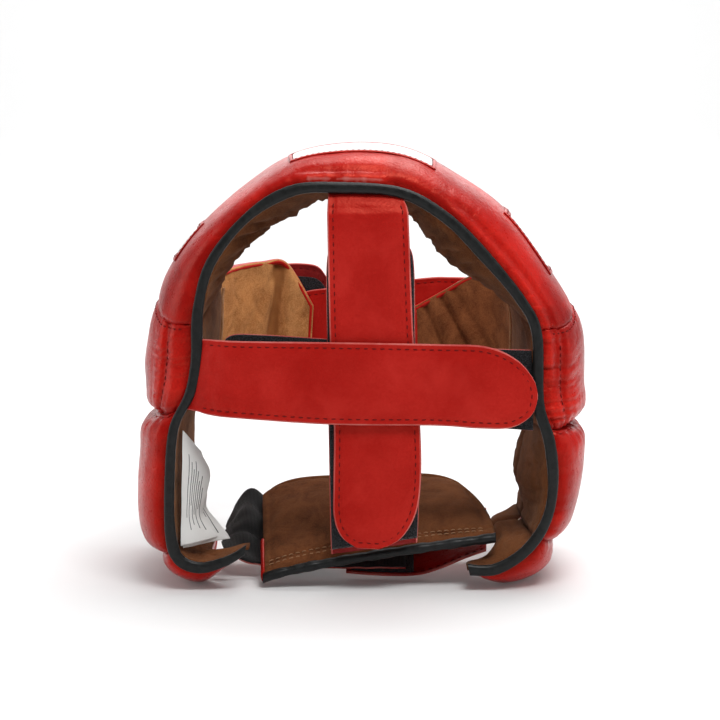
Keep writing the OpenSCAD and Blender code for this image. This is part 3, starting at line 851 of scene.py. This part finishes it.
# Each strap's two edges
CROSS = ([(-84.5, 1.2, 132), (-78, -2.6, 132), (-72.4, -5.2, 131.8), (-60, -8.2, 131.5), (-16, -8.6, 131),
          (40, -8.6, 130), (64, -8.6, 128.8), (79, -8.6, 122.5), (88, -8.6, 112.5), (90.5, -8.6, 104.5)],
         [(-91, 1.2, 95.3), (-83.9, -2.6, 94.5), (-78.4, -5.2, 93.2), (-66, -8.2, 92), (-16, -8.6, 88.6),
          (38, -8.6, 88), (60, -8.6, 86.6), (77, -8.6, 87), (87.5, -8.6, 93.5), (90.5, -8.6, 102)])
LOOP = ([(86.6, 2.9, 126), (60, 2.9, 127), (0, 2.9, 130.5), (-50, 2.9, 133.8), (-68, 2.9, 133.2),
         (-73, 2.9, 124)],
        [(86.6, 2.9, 84), (60, 2.9, 86), (0, 2.9, 90), (-50, 2.9, 91), (-68, 2.9, 93), (-73, 2.9, 101)])
FRONT = ([(-16.8, 1.4, 206.5), (-17, -1.4, 202.6), (-17.2, -3.6, 198), (-17.2, -4.9, 190),
          (-16, -4.9, 131.6), (-14, -4.9, 87.6), (-14.2, -4.9, 58), (-14, -4.9, 40), (-10, -4.9, 29.5),
          (-2, -4.9, 23.6)],
         [(22, 1.4, 206), (22.6, -1.4, 202.2), (24, -3.6, 198), (24.5, -4.9, 190), (27, -4.9, 131.6),
          (30.5, -4.9, 87.6), (31, -4.9, 60), (28.5, -4.9, 42), (20.5, -4.9, 28.5), (9, -4.9, 23)])
# The front loop strap, from the rear pad up to its rounded end
UP = ([(29.5, 4.6, 24.8), (30, -1.2, 44), (30, -1.2, 70), (28, -1.2, 130), (27, -1.2, 172), (22, -1.2, 181),
       (15, -1.2, 183)],
      [(-15.5, 4.6, 18.6), (-16, -1.2, 38), (-16.5, -1.2, 70), (-17.5, -1.2, 130), (-17.5, -1.2, 172),
       (-13, -1.2, 181), (-6, -1.2, 183)])


def strap_layer(route, low, high, name, look, hold, node, wave=0.1, seed=0.0, groove=0, dome=0.0, **shape):
    """Make and attach one layer of a strap, with a pale cut edge on leather; returns its Strap."""
    strap = Strap(*route, low, high, wave, seed, groove, dome)
    edge = M["cut"] if look in ("strap", "leather", "dark") else None
    attach(strap.sheet(name, M[look], edge, **shape), hold, node)
    return strap


def make_crown_straps():
    hold = ("shell", "cross_strap", (-84, -4, 113), (-71, -4, 113))
    strap = strap_layer(CROSS, -half, half, "cross_strap", "strap", hold, "cross_strap_leather", 0.5, 1,
                        STITCH_IN, 0.25, puff=wrinkled(2, (-76, -5, 112), (9, 30, 40), 0.5))
    strap.stitch("cross_strap_stitches", hold, t0=1.0)
    strap_layer(CROSS, tape_a, tape_b, "cross_strap_hook_tape", "tape", hold, "cross_strap_hook", 0.2, 1,
                dome=0.1, t0=4.4, t1=8.6, inset=1.5)

    hold = ("shell", "cross_loop", (89, 3, 105), (78, 3, 105))
    strap_layer(LOOP, -half + 0.1, half - 0.6, "cross_loop_strap", "strap", hold, "cross_loop_leather",
                0.25, 5, STITCH_IN, 0.25, t0=-0.22)
    strap_layer(LOOP, half - 0.45, half + 0.75, "cross_loop_tape_pile", "tape", hold, "cross_loop_tape",
                0.25, 5, dome=0.1, t0=-0.22, t1=4.8, inset=0.25)

    hold = ("shell", "front_strap", (3, -3, 205), (3, -3, 192))
    strap = strap_layer(FRONT, -half + 0.2, half - 0.2, "front_strap", "strap", hold, "front_strap_leather",
                        0.3, 8, STITCH_IN, 0.25, puff=wrinkled(3, (3, -4, 199), (30, 20, 6), 0.55, 4))
    strap.stitch("front_strap_stitches", hold, t0=1.1)
    strap_layer(FRONT, 0.2 - tape_b, 0.15 - half, "front_strap_hook_tape", "tape", hold, "front_strap_hook",
                0.15, 8, t0=4.2, t1=8.6, inset=1.5)

    strap_layer(UP, -1.3, 0.0, "front_loop_strap", "dark", "rear_pad", "front_loop_leather", 0.1, 11,
                STITCH_IN, 0.25)
    strap_layer(UP, 0.15, 1.2, "front_loop_tape_pile", "tape", "rear_pad", "front_loop_tape", 0.1, 11,
                t0=0.25, inset=0.4)


make_crown_straps()


# ---------------------------------------------------------------- rear pad
def pad_mid(u, v):
    """The rear pad's middle surface: u from left to right, v from its crown edge to its far edge."""
    x = mix(-51 - 4 * v + 5 * step01((v - 0.86) / 0.14) ** 2, 70 - 15 * v * v, u)
    y = mix(8, 95 - 9 * np.abs(2 * u - 1) ** 4, v)
    zn = 4.9 + 21.6 * np.maximum(u, 0) ** 0.75
    zf = 43 + 3 * u - 5 * np.abs(2 * u - 1) ** 6
    return np.stack([x, y, mix(zn, zf, np.maximum(v, 0) ** 0.8)], -1)


def pad_half(u, v):
    return 1.9 + 3.7 * (1 - np.abs(2 * u - 1) ** 3) * (1 - np.abs(2 * v - 1) ** 3)


def make_rear_pad():
    nu, nv = 86, 66
    u = np.linspace(0, 1, nu)[:, None] * np.ones((1, nv))
    v = (1 - np.cos(math.pi * np.linspace(0, 1, nv))[None, :]) / 2 * np.ones((nu, 1))
    mid, thick = pad_mid(u, v), pad_half(u, v)
    up = np.array([0, 0, 1.0])
    across, near = lengths(mid, 0), lengths(mid, 1)
    d = np.minimum.reduce([across, across[-1] - across, near[:, -1:] - near])
    lumps = 1.3 * noise_at(mid, 26, 4) + 0.55 * noise_at(mid, 11, 5) + 0.15 * noise_at(mid, 4, 6)
    folds = 1.2 * (pleats(mid[..., 0] / 23 + 0.3 * np.sin(mid[..., 1] / 14), 6) - 0.6) * np.exp(-near / 45)
    rim = -0.9 * bump(d, 5, 1.1) + 0.3 * bump(d, 2, 2)
    channel = -0.8 * bump(near, 7.5, 1.0)
    top_relief = (lumps + folds) * step01(np.minimum(d, near) / 8) + rim + channel
    top = mid + up * (thick + top_relief)[..., None]
    back = mid + up * (thick - 1.2 + top_relief * 0.9)[..., None]
    # the crease value paints shade into the lining's hollows
    lining = slab("rear_pad_suede", top, back, M["suede"], crease=np.clip(top_relief / 1.8, -1, 1))
    attach(lining, "rear_pad", "rear_pad_lining")
    low_relief = 0.5 * noise_at(mid, 22, 8) * step01(np.minimum(d, near) / 8) + rim * 0.8
    face = mid - up * (thick + np.minimum(low_relief, 0.3) - 0.3)[..., None]
    inner = mid - up * (thick - 1.5 + low_relief * 0.8)[..., None]
    # the crease value paints shade into the cover's hollows and highlight on its ridges
    skin = slab("rear_pad_skin", inner, face, M["leather"], crease=np.clip(low_relief, -1, 1))
    attach(skin, "rear_pad", "rear_pad_cover")
    coarse = (slice(2, -2, 4), slice(2, -2, 4))
    filling = np.maximum(thick[coarse] - 3.2, 0.15)[..., None]
    core = slab("rear_pad_core", mid[coarse] + up * (filling - 0.6), mid[coarse] - up * (filling + 0.6),
                M["foam"])
    attach(core, "rear_pad", "rear_pad_foam")

    n, around = 150, 14
    u = np.linspace(-0.004, 1.004, n)
    middle = pad_mid(u, np.zeros(n)) + [0, 0.4, 0]
    angle = ring_angles(around)
    wave = 1 + 0.06 * np.sin(u * 40) + 0.04 * np.sin(u * 93 + 1)
    rings = middle[:, None] + np.stack([np.zeros((n, around)),
                                        -2.9 * np.cos(angle)[None, :] * wave[:, None],
                                        2.6 * np.sin(angle)[None, :] * wave[:, None]], -1)
    attach(tube("rear_pad_edge_tape", settled(rings), M["binding"]), "rear_pad",
           "rear_pad_binding")
    v = np.linspace(0.015, 0.33, 40)
    line = pad_mid(0 * v - 0.002, v)
    rings = line[:, None] + np.stack([1.3 * np.cos(angle), 0 * angle, 3.0 * np.sin(angle)], -1)[None]
    attach(tube("rear_pad_turned_edge", rings, M["leather"]), "rear_pad")
    for k, along in enumerate((4.3, 6.8)):
        u = np.linspace(0.02, 0.98, 160)
        vv = np.full(160, along / 88)
        line = pad_mid(u, vv) + up * (pad_half(u, vv) + 0.15)[:, None]
        obj = stitches(f"rear_pad_stitches_{k + 1}", line, np.repeat(up[None], 160, 0), "rear_pad", pitch=3.6,
                       length=2.5, radius=0.3, material=M["brown_thread"])


make_rear_pad()


# ---------------------------------------------------------------- rear closure
BAND_Y0, BAND_Y1 = 32, 85
ELASTIC = ([(-74, BAND_Y0, 17), (-64, BAND_Y0, 10), (-50, BAND_Y0, 7.2), (-20, BAND_Y0, 6.4),
            (24, BAND_Y0, 6.4)],
           [(-75, BAND_Y1, 17.5), (-63, BAND_Y1, 38.5), (-50, BAND_Y1, 33), (-20, BAND_Y1, 33.4),
            (24, BAND_Y1, 33.4)])
BAND = ([(67, BAND_Y0, 15.5), (56, BAND_Y0, 11.5), (42, BAND_Y0, 5.5), (30, BAND_Y0, 2.2),
         (12, BAND_Y0, 1.9), (-8, BAND_Y0 + 2, 2.9)],
        [(70, BAND_Y1, 29), (56, BAND_Y1, 29), (42, BAND_Y1, 29.5), (30, BAND_Y1, 28.8),
         (12, BAND_Y1, 28.5), (-8, BAND_Y1 - 2, 27.5)])


def make_rear_closure():
    def folds(points, d):
        slack = step01((-48 - points[..., 0]) / 8)
        fall = points[..., 1] + points[..., 0] * 0.9
        crumple = 1.3 * slack * noise_at(points, 9, 3)
        ridges = pleats(fall / 27 + 0.25 * np.sin(points[..., 0] / 7), 2) - 0.6
        return (0.5 + 2.2 * slack) * ridges + crumple
    strap_layer(ELASTIC, -0.5, 0.5, "rear_elastic_band", "elastic", "shell", "rear_elastic", puff=folds)
    strap_layer(ELASTIC, -1.6, -0.75, "rear_elastic_leather", "leather", "shell", "rear_elastic_backing",
                puff=folds)
    strap_layer(ELASTIC, -2.5, -1.65, "rear_elastic_pile", "tape", "shell", "rear_elastic_loop",
                t0=2, t1=4, inset=1.5)
    hold = ("shell", "rear_band", (69, 58, 20), (58, 58, 18))
    band = strap_layer(BAND, -0.2, 1, "rear_band_strap", "leather", hold, "rear_band_leather",
                       groove=2.5, dome=0.1)
    band.stitch("rear_band_stitches", hold)
    strap_layer(BAND, -1.05, -0.3, "rear_band_hook_tape", "tape", hold, "rear_band_hook",
                t0=3.1, t1=4.8, inset=1.5)


make_rear_closure()


# ---------------------------------------------------------------- welts and seam threads on the shell
def bead_along(name, line, normals, radius, mat):
    """A thin piped cord of leather along a line."""
    around = 10
    angle = ring_angles(around)
    along = unit(np.gradient(line, axis=0))
    side = unit(np.cross(along, normals))
    wave = 1 + 0.08 * np.sin(np.arange(len(line)) / 2.3)
    around_line = (side[:, None] * np.cos(angle)[None, :, None]
                   + unit(normals)[:, None] * np.sin(angle)[None, :, None])
    rings = line[:, None] + radius * wave[:, None, None] * around_line
    return attach(tube(name, rings, mat), "shell")


def make_shell_trim():
    """A light welt along the far edge of each ear pad's lining."""
    for name in ("left_ear", "right_ear"):
        t0, t1, far = PADS[name][:3]
        n = 120
        t = np.linspace(t0 + 0.25, t1 - 0.1, n)
        y = np.full(n, far - 4.5)
        line = wall(t, y, inner_h(t, y, far) - 0.7)
        inward = unit(wall(t, y, inner_h(t, y, far) - 2) - line)
        bead_along(name + "_welt", line, inward, 0.9, M["welt"])


make_shell_trim()


def make_seam_threads():
    """Stitches down the ear pads' channels and along the seams between the ears and the forehead."""
    for name in ("left_ear", "right_ear"):
        top, out = PAD_TOPS[name]
        channel = PADS[name][5]
        rows = range(6, len(top) - 6)
        at = np.argmin(np.abs(lengths(top, 1) - channel), axis=1)
        line = np.array([top[i, at[i]] for i in rows])
        ups = np.array([out[i, at[i]] for i in rows])
        for _ in range(8):
            line[1:-1] = (line[:-2] + 2 * line[1:-1] + line[2:]) / 4
        stitches(name + "_channel_stitches", line + ups * 0.1, ups, "shell", pitch=3.6)
        i = -3 if name == "left_ear" else 2
        seam, ups = top[i, 4:-8], out[i, 4:-8]
        stitches(name + "_seam_stitches", seam, ups, "shell", pitch=3.2, length=2.0)


make_seam_threads()


# ---------------------------------------------------------------- jaw flaps
JAW_L = ([(-86, 151.4, 150), (-86, 168, 155), (-76, 188, 158), (-60, 199, 160), (-45, 203, 159),
          (-29, 204.5, 133)],
         [(-94, 151.4, 95), (-91, 168, 85), (-80, 188, 77), (-62, 199, 75), (-46, 203, 79),
          (-31, 204.5, 100)])
JAW_R = ([(90, 151.4, 148), (90, 168, 153), (82, 188, 156), (66, 199, 151), (50, 203, 142),
          (32, 204.5, 132)],
         [(95, 151.4, 98), (92, 168, 87), (83, 188, 79), (65, 199, 77), (48, 203, 81), (33, 204.5, 99)])
JAW_T = 4.0   # half a jaw flap's thickness


def make_jaw(name, route, s, creases, seed, nap):
    """One jaw flap: leather outside, suede inside, foam between, and a turned leather edge; nap is the key of
    a lightened copy of the brown suede, painted light on the inner face.
    """
    def suede_puff(points, d):
        soft = 1.1 * noise_at(points, 30, seed) + 0.5 * noise_at(points, 12, seed + 1)
        soft += 0.2 * noise_at(points, 5, seed)
        soft += 0.7 * (pleats(points[..., 0] / 17 + 0.6 * np.sin(points[..., 2] / 19), seed) - 0.6)
        lines = sum(depth * bump(points[..., 0] + slope * (points[..., 2] - z), x, w)
                    for x, z, slope, w, depth in creases)
        return -s * (soft * step01(d / 9) + lines * step01(d / 5) + 1.2 * step01(d / 14))

    def cover_puff(points, d):
        return s * (0.7 * noise_at(points, 28, seed + 3) + 0.25 * noise_at(points, 11, seed)
                    + 1.2 * step01(d / 14)) * step01(d / 9)

    def layer(low, high):
        lo, hi = sorted((s * low, s * high))
        return Strap(*route, lo, hi, wave=0.0, groove=0, dome=0.0)
    cover = layer(JAW_T - 1.3, JAW_T).sheet(name + "_skin", M["leather"], t0=-0.05, puff=cover_puff)
    attach(cover, "shell", name + "_cover")
    lining = layer(-JAW_T, 1.2 - JAW_T).sheet(name + "_suede", M[nap], t0=-0.05, puff=suede_puff,
                                              facing=-s)
    attach(lining, "shell", name + "_lining")
    core = layer(0.9, JAW_T - 1.6).sheet(name + "_core", M["foam"], t0=0.08, t1=4.8, inset=5, spacing=5)
    attach(core, "shell", name + "_foam")

    edge = layer(-JAW_T, JAW_T)
    line, normals, inward = edge.outline(1.6, -0.02)
    around = 14
    angle = ring_angles(around)
    far = np.arange(len(line))
    thick = JAW_T + 0.5 + 0.12 * np.sin(far / 3.1) + 0.1 * np.sin(far / 7.7)
    rings = line[:, None] + (normals[:, None] * (np.sin(angle)[None, :] * thick[:, None])[..., None]
                             + inward[:, None] * (np.cos(angle)[None, :] * 1.9)[..., None])
    rolled = tube(name + "_turned_edge", rings, M["strap"])
    attach(rolled, "shell")
    line, normals, inward = edge.outline(5.6, 0.1)
    line = line + s * normals * (JAW_T + 0.45)
    row = stitches(name + "_stitches", line, s * normals, "shell", pitch=4.0, length=2.8, radius=0.32)


# each flap's suede is a lightened copy of the brown suede, painted light: the left flap's brighter than the
# right flap's
# creases: x of the fold at height z, slope, width, depth (out of the suede, or into it if negative)
make_jaw("left_jaw", JAW_L, 1,
         [(-53, 130, -0.14, 4.2, -5.0), (-45, 130, -0.12, 4, 2.0), (-61, 130, -0.14, 5, 2.2),
          (-71, 120, -0.5, 2.2, -2.0), (-66, 120, -0.5, 3, 1.0)], 1.5, "left_jaw_painted_light_suede")
make_jaw("right_jaw", JAW_R, -1,
         [(50, 110, 0.45, 2.2, -2.6), (63, 115, 0.6, 2.6, -2.6), (57, 112, 0.5, 4, 1.8),
          (76, 115, 0.7, 3, -2.2), (70, 115, 0.6, 4, 1.6)], 6.5, "right_jaw_painted_light_suede")

# ---------------------------------------------------------------- chin strap and tab
CHIN = ([(66, 205.2, 150), (54, 209.2, 150), (40, 210.6, 149.5), (-10, 210.8, 144), (-34, 210.8, 141),
         (-38, 210.8, 134)],
        [(66, 205.2, 112), (54, 209.2, 110), (40, 210.6, 108), (-10, 210.8, 106), (-34, 210.8, 108),
         (-38, 210.8, 121)])
TAB = ([(-66, 204.6, 156), (-58, 210.2, 158), (-48, 214.4, 158), (-36, 215.8, 158), (-26, 215.8, 156),
        (-20, 215.8, 148)],
       [(-66, 204.6, 118), (-58, 210.2, 118), (-48, 214.4, 118), (-36, 215.8, 118), (-26, 215.8, 122),
        (-20, 215.8, 134)])


def make_chin():
    hold = ("shell", "chin_strap", (67, 206, 131), (55, 209, 131))
    strap = strap_layer(CHIN, -half, half - 0.2, "chin_strap", "strap", hold, "chin_strap_leather", 0.2, 21,
                        STITCH_IN, 0.2)
    strap.stitch("chin_strap_stitches", hold)
    strap_layer(CHIN, -tape_b + 0.1, -tape_a, "chin_strap_hook_tape", "tape", hold, "chin_strap_hook",
                0.1, 21, t0=3, t1=4.8, inset=1.5)
    hold = ("shell", "chin_tab", (-67, 205, 137), (-56, 210, 137))
    strap = strap_layer(TAB, -half + 0.1, half - 0.2, "chin_tab", "dark", hold, "chin_tab_leather", 0.15, 25,
                        STITCH_IN, 0.2)
    strap.stitch("chin_tab_stitches", hold)
    strap_layer(TAB, -half - 0.8, -half + 0.05, "chin_tab_pile", "tape", hold, "chin_tab_loop", 0.1, 25,
                t0=2.6, t1=4.7, inset=8)


make_chin()


# ---------------------------------------------------------------- patches and label
def make_patch(name, t0, t1, y0, y1, border):
    """A sewn-on white patch that follows the forehead pad, with a leather border and a row of stitches."""
    nu, nv = 70, 50
    t = mix(t0, t1, np.linspace(0, 1, nu))[:, None] * np.ones((1, nv))
    y = mix(y0, y1, np.linspace(0, 1, nv))[None, :] * np.ones((nu, 1))
    base = wall(t, y, outer_h(t, y, PADS["forehead"][2]))
    out = normals_of(base)
    a, b = lengths(base, 0), lengths(base, 1)
    d = np.minimum.reduce([a, a[-1] - a, b, b[:, -1:] - b])
    relief = 0.3 * np.sqrt(np.clip(d / 1.0, 0, 1)) - 0.3 * bump(d, 2.2, 0.6) - 0.35 * bump(d, border, 0.9)
    top = base + out * (0.45 + relief)[..., None]
    under = base + out * 0.15
    rows, columns = nu - 1, nv - 1
    trim = [i * columns + j for i in range(rows) for j in range(columns)
            if d[i:i + 2, j:j + 2].mean() < border]
    # the relief as crease value paints shade into the leather border's grooves and highlight on its raised
    # parts
    piece = slab(name + "_face", top, under, M["patch"], M["leather"], crease=relief)
    for k in trim + [rows * columns + k for k in trim]:
        piece.data.polygons[k].material_index = 1
    attach(piece, "shell", name)
    inset = 2.2
    k = max(1, int(round(inset / (a[-1, 0] / nu))))
    m = max(1, int(round(inset / (b[0, -1] / nv))))
    def ring_of(grid):
        return np.concatenate([grid[k:-k, m], grid[-k - 1, m:-m], grid[-k - 1:k:-1, -m - 1],
                               grid[k, -m - 1:m:-1]])
    row = stitches(name + "_stitches", ring_of(top), ring_of(out), "shell", pitch=3.0, length=2.1,
                   radius=0.26)


make_patch("forehead_patch", 12.15, 14.6, 16, 37, 2.6)
make_patch("left_temple_patch", 9.9, 10.7, 24, 60, 4.5)
make_patch("right_temple_patch", 15.9, 16.8, 24, 60, 4.5)

# The label's printed bars, as rows and columns of its grid: row, first column, end column
LABEL_BARS = ((9, 12, 52), (13, 16, 60), (16, 20, 44), (19, 14, 57), (22, 20, 50), (25, 26, 60),
              (28, 22, 46), (31, 30, 62))


def label_leaf(name, near, free, drop, depth, seed):
    """One leaf of the folded care label: near is x at its sewn edge, free lists x down its free edge."""
    nu, nv = 40, 70
    u = np.linspace(0, 1, nu)[:, None] * np.ones((1, nv))
    v = np.linspace(0, 1, nv)[None, :] * np.ones((nu, 1))
    line = [[x] for x in free]
    x = mix(near - 1.5 * v, curve(line, v * (len(free) - 1))[..., 0], u)
    z = mix(drop[0] - drop[2] * u, drop[1] + 1.5 * u, v)
    curl = 1.6 * np.sin(u * 5.2 + v * 2.6 + seed) * u + 1.1 * np.sin(v * 8 + seed) * u * u
    y = depth[0] + depth[1] * u + curl
    face = np.stack([x, y, z], -1)
    face = face + normals_of(face) * (0.25 * noise_at(face, 9, seed))[..., None]
    out = normals_of(face) * 0.1
    bars = [i * (nv - 1) + j for i, first, last in LABEL_BARS for j in range(first, last)]
    piece = slab(name, face + out, face - out, M["label"], M["print"])
    for k in bars + [k + (nu - 1) * (nv - 1) for k in bars]:
        piece.data.polygons[k].material_index = 1
    for k in range(2 * (nu - 1) * (nv - 1), len(piece.data.polygons)):
        piece.data.polygons[k].material_index = 0
    attach(piece, "shell", "care_label")


def make_label():
    """A folded care label with plain bars for its print, sewn into the rim by one edge."""
    label_leaf("care_label_cloth", -92.4, (-84, -79.5, -81.5, -83, -76), (84, 23, 13), (3.4, 15), 0.4)
    label_leaf("care_label_second_leaf", -91.5, (-85, -82, -82, -76, -69.5), (72, 21.5, 16), (6, 20), 2.1)


make_label()


# ---------------------------------------------------------------- camera, light and floor
def look_at(obj, target):
    way = Vector(target) - obj.location
    obj.rotation_euler = way.to_track_quat("-Z", "Y").to_euler()


def make_camera():
    data = bpy.data.cameras.new("camera")
    data.lens = 106.8
    data.sensor_width = 36
    cam = bpy.data.objects.new("camera", data)
    cam.location = (-0.0005, -1.1975, 0.236)
    bpy.context.scene.collection.objects.link(cam)
    look_at(cam, (-0.0005, -0.1035, 0.121))
    bpy.context.scene.camera = cam


def area_light(name, place, target, size, power):
    data = bpy.data.lights.new(name, "AREA")
    data.shape = "RECTANGLE"
    data.size, data.size_y = size
    data.energy = power
    light = bpy.data.objects.new(name, data)
    light.location = place
    bpy.context.scene.collection.objects.link(light)
    look_at(light, target)


def make_studio():
    """A white sweep under and behind the headgear, a key and a top light, and softer lights round it."""
    depth, rise, radius, half = 2.2, 2.4, 0.9, 4.0
    profile = [(-3.0, 0.0), (depth - radius, 0.0)]
    profile += [(depth - radius + radius * math.sin(a), radius - radius * math.cos(a))
                for a in np.linspace(0.1, math.pi / 2, 14)]
    profile.append((depth, rise))
    points = [(x, y, z) for x in (-half, half) for y, z in profile]
    n = len(profile)
    mesh = bpy.data.meshes.new("studio_floor")
    mesh.from_pydata(points, [], [(k, k + n, k + n + 1, k + 1) for k in range(n - 1)])
    mesh.polygons.foreach_set("use_smooth", [True] * (n - 1))
    floor = bpy.data.objects.new("studio_floor", mesh)
    bpy.context.scene.collection.objects.link(floor)
    paper = material("white_paper", (0.70, 0.70, 0.70), 0.7, specular=0.2)
    grain = Nodes(paper)
    grain.finish(None, grain.span(grain.noise(40), 0.3, 0.7, 0.65, 0.75))
    grain.shader.inputs["Emission Color"].default_value = (1, 1, 1, 1)
    grain.shader.inputs["Emission Strength"].default_value = 0.04
    mesh.materials.append(paper)

    world = bpy.data.worlds.new("studio")
    world.use_nodes = True
    world.node_tree.nodes["Background"].inputs["Color"].default_value = (1, 1, 1, 1)
    world.node_tree.nodes["Background"].inputs["Strength"].default_value = 0.2
    bpy.context.scene.world = world
    centre = (0, 0, 0.12)
    area_light("key_light", (0.25, -0.8, 1.3), centre, (0.7, 0.5), 14)
    area_light("top_light", (0.35, 0.25, 1.4), centre, (1.0, 0.8), 12)
    area_light("right_light", (1.5, -0.3, 0.6), centre, (0.9, 1.2), 4)
    area_light("left_light", (-1.5, -0.1, 0.6), centre, (0.9, 1.2), 7)
    area_light("back_light", (0.0, 1.5, 1.0), (0, 0, 0.2), (2.2, 0.8), 7)
    area_light("paper_light", (0.0, 0.8, 1.9), (0, 2.2, 0.5), (2.4, 0.8), 38)
    bpy.context.scene.view_settings.view_transform = "Standard"


make_camera()
make_studio()
